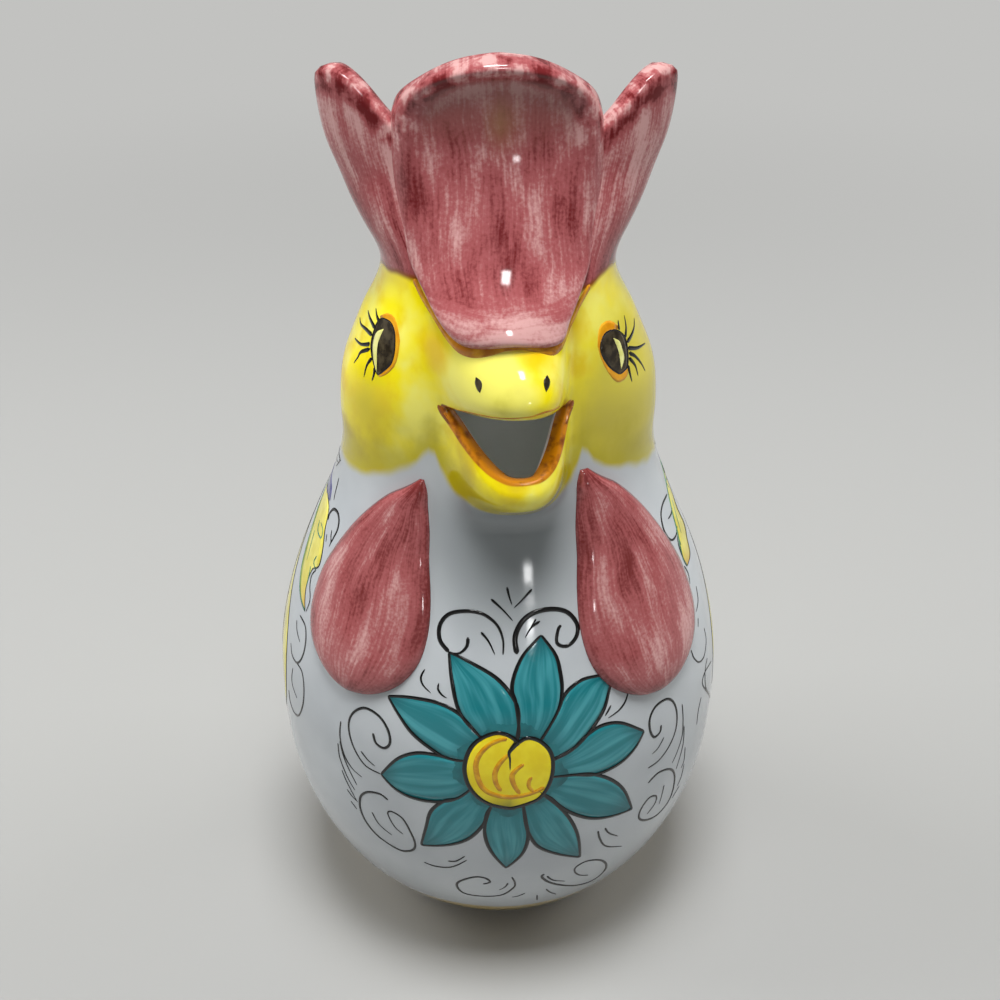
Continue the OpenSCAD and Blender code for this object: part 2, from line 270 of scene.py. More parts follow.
# Outline as (share of the height, share of the way) from foot to belly and from belly to cheeks
LOW_SHARES = [(0, 0), (0.086, 0.19), (0.2, 0.41), (0.343, 0.64), (0.543, 0.84), (0.77, 0.968), (1, 1)]
NECK_SHARES = [(0, 0), (0.18, 0.04), (0.36, 0.205), (0.54, 0.47), (0.72, 0.77), (0.86, 0.93), (1, 1)]
# Reach of the head, waist and comb by height: at the side, in front and behind
SIDE_REACH = [(170, 39.6), (180, 39), (191, 35.4), (196, 32.9), (200, 31), (204, 29.8), (208, 29.6),
              (212, 30.8), (217, 33.6), (223, 36.4), (229, 38.6), (237, 41.6), (246.5, 43.1), (254, 43.1)]
FRONT_REACH = [(170, 36.2), (180, 36.1), (191, 35.5), (200, 34.7), (205, 33.5), (208, 32), (212, 29),
               (216, 26), (224, 21.8), (232, 18.7), (254, 17)]
BACK_REACH = [(170, 37.5), (181, 36.6), (191, 33.8), (200, 30.2), (205, 28.8), (208, 28.5), (214, 28.6),
              (222, 29.2), (235, 29.9), (254, 29.9)]
UPPER_BEAK_SHARES = [(0, 0.42), (0.1, 0.8), (0.25, 1), (0.5, 0.86), (0.75, 0.48), (1, 0.1)]
# Height of the rim of the comb by angle from the front
RIM_HEIGHT = [(0, 232), (20, 236), (30, 240), (40, 245), (48, 249.5), (57, 252.5), (68, 253.6), (80, 252.6),
              (92, 249.5), (104, 243), (118, 232), (134, 222), (155, 215.5), (180, 214)]


def reach(z, head, table):
    """Distance of the outside from the middle at a height: foot, belly and neck, then by the table."""
    if z < belly_z:
        return mix(foot_r, belly_r, curve(LOW_SHARES, z / belly_z))
    if z < cheek_z:
        return mix(belly_r, head, curve(NECK_SHARES, (z - belly_z) / (cheek_z - belly_z)))
    return curve(table, z)


def beak_form(x, z):
    """Half width of the beak and fullness of its flank: its left side runs softly into the brow."""
    if x > 0:
        return right_beak_half_w, beak_fullness
    up = clamp((z - beak_z) / snout_rise)
    return mix(left_beak_half_w, left_snout_half_w, up), mix(beak_fullness, snout_fullness, up)


def skin(u, z, above_mouth):
    """Point of the vessel's outside at angle u in degrees from the front, in millimetres."""
    oval = smooth(2 * (z - neck_base_z) / belly_z)
    bulge = cheek_bulge * bell(z - cheek_z, cheek_bulge_h) * bell(abs(u) - cheek_bulge_turn, cheek_bulge_w)
    side = reach(z, head_half_w, SIDE_REACH) + bulge
    front = reach(z, mix(head_half_w, head_front, oval), FRONT_REACH) + bulge
    back = reach(z, mix(head_half_w, head_back, oval), BACK_REACH) + bulge
    turn = math.radians(u)
    x = side * math.sin(turn)
    y = -math.cos(turn) * (front if math.cos(turn) > 0 else back)
    y += crown_shift * smooth((z - body_h) / side_petal_h)
    pull = 0
    half_w, fullness = beak_form(x, z if above_mouth else beak_z)
    if abs(u) < 90 and abs(x) < half_w:
        pull = (1 - (abs(x) / half_w) ** fullness) ** beak_ridge
    if above_mouth:
        share = clamp((z - beak_z) / (body_h - beak_z))
        swell = pull * curve(UPPER_BEAK_SHARES, share)
        return Vector((x + beak_lean * swell, y - upper_reach * swell, z + upper_rise * pull * (1 - share)))
    rise = clamp((z - beak_z + throat_h) / throat_h)
    swell = pull * smooth(rise / throat_full)
    rolled_in = lip_roll * pull * smooth((rise - lip_roll_start) / (1 - lip_roll_start))
    return Vector((x + beak_lean * swell, y - lower_reach * swell + rolled_in,
                   z - lower_drop * pull * rise ** lower_scoop))


# Lower edge of the yellow by angle, and lower edge of the wine red on the comb
YELLOW_EDGE = [(-180, 163), (-140, 158), (-100, 151), (-80, 152), (-62, 154), (-47, 158), (-34, 163.5),
               (-27, 168), (-23.5, 163.5), (-19, 160.5), (-5, 158), (8, 158), (19, 159), (25, 161), (29, 167),
               (33, 163), (41, 159), (58, 155), (82, 151), (110, 151), (140, 158), (180, 163)]
COMB_EDGE = [(-180, 206), (-120, 205), (-92, 205.5), (-71, 208.5), (-53, 210), (-30, 210), (30, 208),
             (45, 208), (65, 209), (92, 205.5), (120, 205), (180, 206)]

# Load of the wine-red brush by distance below the rim of the comb
RIM_LOAD = [(0, 0.5), (2, 0.65), (4.5, 0.95), (5.5, 0.95), (7.5, 0.35), (12, 0.3), (20, 0.42), (32, 0.5),
            (44, 0.65)]

# Columns and rows of the mesh, how much closer the columns stand in front and the rows at the mouth
COLUMNS = 112
LOW_ROWS = 42
HIGH_ROWS = 34
CROWDING = 0.35
CROWDING_ABOVE = 1.15
CROWDING_BELOW = 1.3
FLOOR_SHARES = [0.94, 0.7, 0.4, 0]
# The orange band of the lips: how much narrower it is at the corners of the mouth and above it
corner_narrowing = 3
upper_narrowing = 2.2
# Distance from the beak of what lies behind, and radius that turns an angle into the brush's way round
wide_of_beak = 40
brush_r = 40


def turned(points, columns):
    """Mesh of a chain of points turned right round, as on a wheel."""
    made = bmesh.new()
    chain = [made.verts.new(point) for point in points]
    edges = [made.edges.new(pair) for pair in zip(chain, chain[1:])]
    bmesh.ops.spin(made, geom=chain + edges, cent=(0, 0, 0), axis=(0, 0, 1), angle=2 * math.pi,
                   steps=columns, use_merge=True)
    return made


def glaze_layers(bm, *names):
    """Layers that hold what the glaze reads on a mesh: where the brush ran, and numbers by name."""
    layers = {name: bm.verts.layers.float.new(name) for name in names}
    layers["brush"] = bm.verts.layers.float_vector.new("brush")
    return layers


def body_sheet(rows, above_mouth):
    """Outside of the vessel below or above the mouth, with the borders of its colours as attributes."""
    sheet = turned([(0, -1, row) for row in range(rows)], COLUMNS)
    layers = glaze_layers(sheet, "yellow_mm", "comb_mm", "lip_mm", "load", "rim", "wall_share")
    for vert in sheet.verts:
        turn = math.atan2(vert.co.x, -vert.co.y)
        u = math.degrees(turn - CROWDING * math.sin(turn))
        row = round(vert.co.z)
        top = curve(RIM_HEIGHT, abs(u)) + left_rise * (1 - math.sin(turn)) / 2
        if above_mouth:
            z = mix(beak_z, top, (row / HIGH_ROWS) ** CROWDING_ABOVE)
        else:
            z = mix(beak_z, foot_h, (min(row, LOW_ROWS) / LOW_ROWS) ** CROWDING_BELOW)
        place = skin(u, z, above_mouth)
        if row > LOW_ROWS:
            share = FLOOR_SHARES[row - LOW_ROWS - 1]
            place.x *= share
            place.y *= share
        vert.co = place * MM
        half_w = beak_form(place.x, z if above_mouth else beak_z)[0]
        beyond = max(0, abs(place.x) - half_w) if abs(u) < 90 else wide_of_beak
        from_mouth = (z - beak_z) * (upper_narrowing if above_mouth else 1)
        vert[layers["lip_mm"]] = math.hypot(corner_narrowing * beyond, from_mouth)
        vert[layers["wall_share"]] = mix(wall_thinning, 1, smooth((z - top) / rim_wall_h + 1))
        if math.hypot(beyond, z - beak_z) < lip_w:
            vert[layers["wall_share"]] = mix(1, mouth_thinning, smooth(abs(place.x - beak_lean) / half_w))
        vert[layers["yellow_mm"]] = z - curve(YELLOW_EDGE, u)
        vert[layers["comb_mm"]] = z - curve(COMB_EDGE, u)
        vert[layers["load"]] = curve(RIM_LOAD, top - z)
        vert[layers["rim"]] = smooth((mottled_rim_w - top + z) / 4)
        vert[layers["brush"]] = Vector((turn * brush_r, z, 0))
    return sheet


def object_of(bm, name, materials):
    """Finished smooth object of a mesh, at the origin."""
    mesh = bpy.data.meshes.new(name)
    bm.to_mesh(mesh)
    bm.free()
    for material in materials:
        mesh.materials.append(material)
    mesh.polygons.foreach_set("use_smooth", [True] * len(mesh.polygons))
    made = bpy.data.objects.new(name, mesh)
    bpy.context.scene.collection.objects.link(made)
    return made


def thicken(piece, name, thickness):
    """Gives a sheet its thickness in millimetres, inwards."""
    wall = piece.modifiers.new(name, "SOLIDIFY")
    wall.thickness = thickness * MM
    wall.offset = -1
    return wall


def soften(piece, levels):
    """Rounds a modelled piece."""
    rounding = piece.modifiers.new("rounding", "SUBSURF")
    rounding.levels = levels
    rounding.render_levels = levels


low = body_sheet(LOW_ROWS + 1 + len(FLOOR_SHARES), False)
high = body_sheet(HIGH_ROWS + 1, True)
low_mesh = bpy.data.meshes.new("lower_sheet")
low.to_mesh(low_mesh)
high.from_mesh(low_mesh)
low.free()
bpy.data.meshes.remove(low_mesh)
bmesh.ops.remove_doubles(high, verts=high.verts, dist=0.01 * MM)
bmesh.ops.recalc_face_normals(high, faces=high.faces)
belly_face = min(high.faces, key=lambda face: face.calc_center_median().y)
if belly_face.normal.y > 0:
    bmesh.ops.reverse_faces(high, faces=high.faces)


def glaze_coords(tree):
    """Object coordinates in millimetres."""
    place = add(tree, "TexCoord").outputs["Object"]
    return add(tree, "VectorMath", {0: place, "Scale": 1 / MM}, operation="SCALE").outputs[0]


def glaze_shader(tree, place, colour):
    """Glossy tin glaze over a colour: waves 11 mm wide, ripples of 2.5 mm and a pinhole about every 9 mm."""
    waves = add(tree, "TexNoise", {"Vector": place, "Scale": 1 / 11, "Detail": 1.0})
    ripple = add(tree, "TexNoise", {"Vector": place, "Scale": 1 / 2.5, "Detail": 1.0})
    holes = add(tree, "TexVoronoi", {"Vector": place, "Scale": 1 / 9})
    dent = add(tree, "MapRange", {"Value": holes.outputs["Distance"], "From Min": 0.0, "From Max": 0.05,
                                  "To Min": -0.5, "To Max": 0.0}, interpolation_type="SMOOTHSTEP")
    height = add(tree, "Math", {0: ripple, 1: 0.12, 2: dent}, operation="MULTIPLY_ADD")
    total = add(tree, "Math", {0: waves, 1: height}, operation="ADD")
    bump = add(tree, "Bump", {"Height": total, "Strength": 0.35, "Distance": 0.3 * MM})
    shader = add(tree, "BsdfPrincipled", {"Base Color": colour, "Roughness": 0.09, "IOR": 1.5,
                                          "Normal": bump})
    add(tree, "OutputMaterial", {"Surface": shader})


def coat(tree, under, over, run, start, end, most=1.0):
    """Lays a colour over another, more of it as a run of values goes from start to end, up to a share."""
    share = add(tree, "MapRange", {"Value": run, "From Min": start, "From Max": end, "To Max": most},
                interpolation_type="SMOOTHSTEP")
    return add(tree, "Mix", {0: share, 6: under, 7: over}, data_type="RGBA").outputs[2]


# White tin glaze, dipped: opaque and bluish, in clouds about 34 mm wide where it ran thinner and greyer,
# with painted shade, a darker grey, in the hollow of the chest under the beak.
GLAZE_WHITE = "C2C7CA"
GLAZE_THIN = "B4B9BD"
PAINTED_SHADE_UNDER_BEAK = "8E9395"
SHADED_CHEST = (-1, -42, 144)


def white_glaze(tree, place):
    """White in thick and thin clouds, with painted shade round the chest under the beak."""
    cloud = add(tree, "TexNoise", {"Vector": place, "Scale": 1 / 34, "Detail": 3.0})
    colour = coat(tree, GLAZE_WHITE, GLAZE_THIN, cloud, 0.35, 0.7)
    # Painted shade: the white turns a darker grey towards the chest, where the beak's shadow falls.
    chest = add(tree, "VectorMath", {0: place, 1: SHADED_CHEST}, operation="DISTANCE").outputs["Value"]
    return coat(tree, colour, PAINTED_SHADE_UNDER_BEAK, chest, 30.0, 8.0)


# Wine-red brushwork: thin colour dragged on with a flat brush, so that hair-fine streaks, 0.8 mm apart,
# run along broader ones of 8 mm. It is pale and grainy where thin, and dark where the brush was loaded.
WINE_DARK = "6A1A1D"
WINE_MID = "A45658"
WINE_PALE = "CE9E9B"
# Grey: an even tone on the wattles, and under the rim of the front petal a painted reflection of the dim
# room. Amber: a painted reflection of the yellow beak on that petal.
WINE_GREY = "925E56"
BEAK_REFLECTION_AMBER = "9C8648"
BROAD_STREAK = (1 / 8, 1 / 22, 1)
FINE_STREAK = (1 / 0.8, 1 / 12, 1)
STREAK_WANDER = (3, 8, 0)
grey_and_reflection_share = 0.45


def streaks(tree, place, stored):
    """Fine and broad streaks along a stored brush direction, x across and y along in millimetres."""
    brush = add(tree, "Attribute", attribute_name=stored).outputs["Vector"]
    wander = add(tree, "TexNoise", {"Vector": place, "Scale": 1 / 14, "Detail": 1.0}).outputs["Color"]
    shift = add(tree, "VectorMath", {0: wander, 1: STREAK_WANDER, 2: brush}, operation="MULTIPLY_ADD")
    broad_map = add(tree, "VectorMath", {0: shift, 1: BROAD_STREAK}, operation="MULTIPLY")
    broad = add(tree, "TexNoise", {"Vector": broad_map, "Scale": 1.0, "Detail": 3.0})
    fine_map = add(tree, "VectorMath", {0: shift, 1: FINE_STREAK}, operation="MULTIPLY")
    fine = add(tree, "TexNoise", {"Vector": fine_map, "Scale": 1.0, "Detail": 4.0})
    heavy = add(tree, "Math", {0: broad, 1: 1.75}, operation="MULTIPLY")
    return add(tree, "Math", {0: fine, 1: 0.75, 2: heavy}, operation="MULTIPLY_ADD")


def wine_brushed(tree, place):
    """Wine-red streaks, thin to thick, with a mottled rim, and where stored a grey tone, which on the front
    petal is a painted reflection, and amber, a painted reflection of the beak.
    """
    load, rim, grey_and_reflection, beak_reflection, crosswise = [
        add(tree, "Attribute", attribute_name=name).outputs["Fac"]
        for name in ("load", "rim", "grey_and_reflection", "beak_reflection", "crosswise")]
    drawn = add(tree, "Mix", {0: crosswise, 2: streaks(tree, place, "brush"),
                              3: streaks(tree, place, "second_brush")}, data_type="FLOAT")
    grain = add(tree, "TexNoise", {"Vector": place, "Scale": 1 / 0.8, "Detail": 4.0})
    blotch = add(tree, "TexNoise", {"Vector": place, "Scale": 1 / 4.2, "Detail": 3.0})
    on_rim = add(tree, "Math", {0: blotch, 1: 2.6, 2: -1.3}, operation="MULTIPLY_ADD")
    loaded = add(tree, "Math", {0: on_rim, 1: rim, 2: load}, operation="MULTIPLY_ADD")
    streaked = add(tree, "Math", {0: drawn, 1: loaded}, operation="ADD")
    thickness = add(tree, "Math", {0: grain, 1: 0.6, 2: streaked}, operation="MULTIPLY_ADD")
    pale = coat(tree, WINE_PALE, WINE_MID, thickness, 1.6, 2.12)
    red = coat(tree, pale, WINE_DARK, thickness, 2.05, 2.6)
    greyed = add(tree, "Math", {0: grey_and_reflection, 1: grey_and_reflection_share}, operation="MULTIPLY")
    with_grey_and_reflection = add(tree, "Mix", {0: greyed, 6: red, 7: WINE_GREY}, data_type="RGBA").outputs[2]
    return add(tree, "Mix", {0: beak_reflection, 6: with_grey_and_reflection, 7: BEAK_REFLECTION_AMBER}, data_type="RGBA").outputs[2]


# Lemon yellow brushed on in two coats, in patches of 12 to 17 mm: pale where thin, golden where thick, and
# mustard along its lower edge, partly where it pooled and partly painted shade under the cheeks. A pale
# patch on the snout is a painted highlight, and two dull dabs are painted shade.
YELLOW_LEMON = "FAE800"
YELLOW_PALE = "F7EF6C"
YELLOW_GOLD = "ECCF00"
MUSTARD_POOLED_AND_SHADE = "B0A312"
SNOUT_HIGHLIGHT = (-9, -48, 193)
# Dabs of the second coat, and two of painted shade: where, reach in mm where it is full and where it ends,
# and colour
YELLOW_DABS = [
    ((36, -20, 178), 13, 29, "D0C240"),
    # Lower left cheek: mustard, partly its own colour and partly painted shade
    ((-35, -21, 176), 1, 15, "D2C01C"),
    ((-27, -16, 203), 3, 12, "FDEE10"),
    ((-17, -32, 196), 0, 8, "EDC800"),
    ((7, -43, 200), 0, 7, "F0C400"),
    ((17, -30, 200), 0, 7, "F0D020"),
    # Under the snout: a dull yellow that is painted shade
    ((-2, -50, 189), -1, 6, "CFC440"),
]
dab_raggedness = 14


def yellow_brushed(tree, place, from_edge):
    """Brushed yellow, at a distance in mm from its lower edge."""
    patch = add(tree, "TexNoise", {"Vector": place, "Scale": 1 / 17, "Detail": 3.0})
    second = add(tree, "VectorMath", {0: place, 1: (1 / 12, 1 / 12, 1 / 12), 2: (7, 3, 5)},
                 operation="MULTIPLY_ADD")
    gold = add(tree, "TexNoise", {"Vector": second, "Scale": 1.0, "Detail": 4.0})
    colour = coat(tree, YELLOW_LEMON, YELLOW_PALE, patch, 0.46, 0.66)
    colour = coat(tree, colour, YELLOW_GOLD, gold, 0.47, 0.68)
    # Painted highlight: a broad pale patch on the snout, ragged at its edge.
    snout = add(tree, "VectorMath", {0: place, 1: SNOUT_HIGHLIGHT}, operation="DISTANCE").outputs["Value"]
    thin = add(tree, "Math", {0: patch, 1: 30.0, 2: snout}, operation="MULTIPLY_ADD")
    colour = coat(tree, colour, YELLOW_PALE, thin, 32.0, 26.0)
    for middle, near, far, shade in YELLOW_DABS:
        away = add(tree, "VectorMath", {0: place, 1: middle}, operation="DISTANCE").outputs["Value"]
        ragged = add(tree, "Math", {0: gold, 1: dab_raggedness, 2: away}, operation="MULTIPLY_ADD")
        colour = coat(tree, colour, shade, ragged, far + dab_raggedness / 2, near + dab_raggedness / 2)
    # Mustard along the lower edge: partly pooled yellow, partly painted shade under the cheeks and the jaw.
    uneven = add(tree, "Math", {0: gold, 1: -22.0, 2: from_edge}, operation="MULTIPLY_ADD")
    return coat(tree, colour, MUSTARD_POOLED_AND_SHADE, uneven, 6.5, -8.0, 0.8)


# Painted majolica: white tin glaze with the yellow head, the orange lips and the wine-red comb over it.
# The borders waver as a brushed edge does. A brown line lies under the comb, and the glaze ends in an
# ochre band at the bottom, where it was wiped thin over the clay.
ORANGE_BAND = "CC7F0A"
ORANGE_BROWN = "84430A"
YELLOW_UNDER_COMB = "D8A608"
OCHRE_BAND = "C4AB66"
painted_majolica, tree = new_material("painted_majolica")
place = glaze_coords(tree)
wobble = add(tree, "TexNoise", {"Vector": place, "Scale": 1 / 9, "Detail": 1.0})
borders = {}
for name, unevenness in (("yellow_mm", 3.6), ("comb_mm", 2.0), ("lip_mm", 1.6)):
    distance = add(tree, "Attribute", attribute_name=name).outputs["Fac"]
    shaken = add(tree, "Math", {0: wobble, 1: unevenness, 2: distance}, operation="MULTIPLY_ADD")
    borders[name] = add(tree, "Math", {0: shaken, 1: unevenness / 2}, operation="SUBTRACT")
above_edge = borders["yellow_mm"]
colour = coat(tree, white_glaze(tree, place), yellow_brushed(tree, place, above_edge), above_edge, -1.4, 1.8)
mottle = add(tree, "TexNoise", {"Vector": place, "Scale": 1 / 2.2, "Detail": 3.0})
parts = add(tree, "SeparateXYZ", {0: place})
sideways = add(tree, "Math", {0: parts.outputs["X"]}, operation="ABSOLUTE")
browner = add(tree, "Math", {0: sideways, 1: 0.012, 2: mottle}, operation="MULTIPLY_ADD")
orange = coat(tree, ORANGE_BAND, ORANGE_BROWN, browner, 0.57, 0.9)
colour = coat(tree, colour, orange, borders["lip_mm"], 2.7, 1.9)
colour = coat(tree, colour, YELLOW_UNDER_COMB, borders["comb_mm"], -6.0, -2.0, 0.15)
colour = coat(tree, colour, ORANGE_BROWN, borders["comb_mm"], -1.8, 0.0)
colour = coat(tree, colour, wine_brushed(tree, place), borders["comb_mm"], -0.2, 1.0)
height = add(tree, "Math", {0: wobble, 1: 3.0, 2: parts.outputs["Z"]}, operation="MULTIPLY_ADD")
glaze_shader(tree, place, coat(tree, colour, OCHRE_BAND, height, 26.5, 21.5))

# White tin glaze of the inside, poured in and out: plain, with faint warm and cool clouds.
INSIDE_WARM = "F6F6F0"
INSIDE_COOL = "EAECE6"
inside_glaze, tree = new_material("white_tin_glaze")
place = glaze_coords(tree)
cloud = add(tree, "TexNoise", {"Vector": place, "Scale": 1 / 20, "Detail": 2.0})
poured = add(tree, "Mix", {0: cloud, 6: INSIDE_WARM, 7: INSIDE_COOL}, data_type="RGBA")
glaze_shader(tree, place, poured.outputs[2])

body = object_of(high, "cast_body", [painted_majolica, inside_glaze])
clay_share = body.vertex_groups.new(name="clay_share")
for i, stored in enumerate(body.data.attributes["wall_share"].data):
    clay_share.add([i], stored.value, "REPLACE")
shell = thicken(body, "clay_wall", rim_wall)
shell.vertex_group = clay_share.name
shell.material_offset = 1
shell.material_offset_rim = 0
soften(body, 1)
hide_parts("belly_shell", "neck_shell", "head_shell", "comb_left_petal", "comb_right_petal")
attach(body, "root")


# Front petal of the comb
# A thick tongue of clay modelled by hand and luted to the brow and to the side petals. It is wine red
# like them, with the brush drawn down its length and across its tip, and a darker rolled rim.
front_petal_h = 53
front_petal_half_w = 25.3
front_petal_t = 6.4
front_tongue_h = 8
front_tongue_reach = 44
front_petal_reach = 19.5
front_petal_sag = 9
roll = 3
roll_in = 3.2
roll_half_w = 3.4
tip_lift = 1.8
tip_lift_half_w = 8
crown_start = 0.75
PETAL_WIDTH = [(0, 0.4), (0.008, 0.47), (0.028, 0.53), (0.06, 0.59), (0.112, 0.685), (0.17, 0.79),
               (0.207, 0.845), (0.28, 0.9), (0.396, 0.955), (0.586, 1), (0.734, 0.975), (0.809, 0.92),
               (0.848, 0.845), (0.877, 0.765), (0.912, 0.65), (0.94, 0.54), (0.968, 0.39), (0.99, 0.22),
               (1, 0.06)]
PETAL_THICKNESS = [(0, 1.1), (0.02, 1.5), (0.06, 1.6), (0.12, 1.3), (0.25, 1.1), (0.4, 1), (0.6, 0.95),
                   (0.8, 1), (0.9, 0.95), (0.96, 0.8), (1, 0.3)]
PETAL_LEAN = [(0, 0.95), (0.01, 0.985), (0.03, 1), (0.065, 0.96), (0.1, 0.9), (0.14, 0.805), (0.177, 0.705),
              (0.262, 0.505), (0.39, 0.303), (0.522, 0.143), (0.654, 0.04), (0.807, 0), (0.93, 0), (1, -0.09)]
PETAL_SAG = [(0, 1.1), (0.05, 1.3), (0.15, 1.8), (0.35, 1.35), (0.6, 1), (1, 1)]
PETAL_SHIFT = [(0, 1.2), (0.03, 0.4), (0.07, -0.3), (0.15, -0.3), (0.25, -0.5), (0.5, -0.5), (1, -1)]
# Load of the brush by share of the height, and on the rim. Inside the rim runs a dark line, then a pale
# one, and the bent petal is longer along its face than it is high.
PETAL_LOAD = [(0, 0.45), (0.04, 0.2), (0.09, 0.24), (0.16, 0.46), (0.25, 0.54), (0.55, 0.56), (0.65, 0.54),
              (0.82, 0.46)]
rim_load = 0.55
rim_w = 9
dark_line_in = 7.6
pale_line_in = 10.5
petal_arc = 1.15
second_squeeze = 0.8
PETAL_ROWS = 46
PETAL_COLUMNS = 72


def squared(value):
    """Cosine or sine made fuller, for a section like a rounded bar."""
    return math.copysign(abs(value) ** 0.7, value)


def from_rim(across, share):
    """Distance in mm inwards from the rim of the petal."""
    outwards = math.hypot(across / front_petal_half_w, max(0, share - crown_start) / (1 - crown_start))
    return (1 - outwards) * front_petal_half_w


def petal_point(turn, share):
    """Point of the petal at an angle round its section and a share of its height."""
    half_w = front_petal_half_w * curve(PETAL_WIDTH, share)
    half_t = front_petal_t * curve(PETAL_THICKNESS, share) / 2
    front = mix(front_petal_reach, front_tongue_reach, curve(PETAL_LEAN, share))
    x = half_w * squared(math.cos(turn))
    y = half_t * (1 + squared(math.sin(turn))) - front
    rolled = bell(from_rim(x, share) - roll_in, roll_half_w)
    y -= roll * smooth((share - 0.3) / 0.5) * rolled * clamp(-4 * math.sin(turn))
    y += front_petal_sag * curve(PETAL_SAG, share) * (x / front_petal_half_w) ** 2
    z = mix(body_h - front_tongue_h, body_h + front_petal_h, share)
    z += tip_lift * smooth(1 - share / 0.15) * bell(x, tip_lift_half_w)
    return Vector((x + curve(PETAL_SHIFT, share), y, z))


petal = turned([(0, -1, row) for row in range(PETAL_ROWS + 1)], PETAL_COLUMNS)
layers = glaze_layers(petal, "crosswise", "load", "rim", "grey_and_reflection", "beak_reflection")
layers["second_brush"] = petal.verts.layers.float_vector.new("second_brush")
for vert in petal.verts:
    turn = math.atan2(vert.co.x, -vert.co.y)
    share = 0.5 - 0.5 * math.cos(math.pi * round(vert.co.z) / PETAL_ROWS)
    place = petal_point(turn, share)
    vert.co = place * MM
    across = place.x - curve(PETAL_SHIFT, share)
    along = share * (front_petal_h + front_tongue_h) * petal_arc
    inside = from_rim(across, share)
    on_rim = smooth((share - 0.55) / 0.2) * smooth((rim_w - inside) / 2.5)
    both_lines = 0.4 * bell(inside - dark_line_in, 1.1) - 0.3 * bell(inside - pale_line_in, 1.6)
    edge_line = smooth((share - 0.7) / 0.1) * both_lines
    middle = 0.2 * bell(across, 7) * smooth((share - 0.15) / 0.1) * smooth((0.5 - share) / 0.15)
    vert[layers["brush"]] = Vector((across, along, 0))
    vert[layers["second_brush"]] = Vector((along * second_squeeze, across, 0))
    vert[layers["crosswise"]] = 1 - smooth((share - 0.1) / 0.12)
    vert[layers["load"]] = (mix(curve(PETAL_LOAD, share), rim_load, on_rim) + edge_line + middle
                            - 0.25 * bell(inside, 1.5))
    vert[layers["rim"]] = on_rim
    # Painted reflection under the rim: the face is greyed as if it mirrored the dim room, and an amber spot
    # stands where it would mirror the yellow beak.
    vert[layers["grey_and_reflection"]] = smooth((share - 0.6) / 0.2) * (1 - on_rim)
    beak_reflection_spot = bell(across - 1, 2.5) * bell(share - 0.76, 0.08)
    vert[layers["beak_reflection"]] = 0.4 * smooth(-3 * math.sin(turn)) * beak_reflection_spot
bmesh.ops.holes_fill(petal, edges=petal.edges, sides=0)
bmesh.ops.recalc_face_normals(petal, faces=petal.faces)

# Wine-red brushwork under a glossy glaze, as on the side petals.
wine_glaze, tree = new_material("brushed_wine_glaze")
place = glaze_coords(tree)
glaze_shader(tree, place, wine_brushed(tree, place))

front_petal = object_of(petal, "comb_front", [wine_glaze])
soften(front_petal, 2)
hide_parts("comb_front_petal")
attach(front_petal, "root")


# Wattles
# Two fleshy lobes modelled on the chest beside the beak, low domes with a soft edge, brushed wine red
# from the pointed tip down.
wattle_relief = 4
wattle_turn = 43
wattle_chest_r = 55
wattle_t = 2
wattle_sunk = 0.4
wattle_veil = 0.25
wattle_load = 0.46
heart_load = 0.34
wattle_rim_load = 0.32
wattle_tip_load = 0.2
WATTLE_INNER = [(0, 0.71), (0.06, 0.67), (0.11, 0.66), (0.23, 0.62), (0.34, 0.6), (0.47, 0.555), (0.6, 0.535),
                (0.73, 0.56), (0.82, 0.62), (0.9, 0.72), (0.97, 0.88), (1, 1.04)]
WATTLE_OUTER = [(0, 0.73), (0.06, 0.88), (0.11, 1.02), (0.23, 1.23), (0.34, 1.37), (0.47, 1.48), (0.6, 1.545),
                (0.73, 1.545), (0.82, 1.5), (0.9, 1.4), (0.97, 1.22), (1, 1.06)]
WATTLE_ROWS = 40
WATTLE_COLUMNS = 20
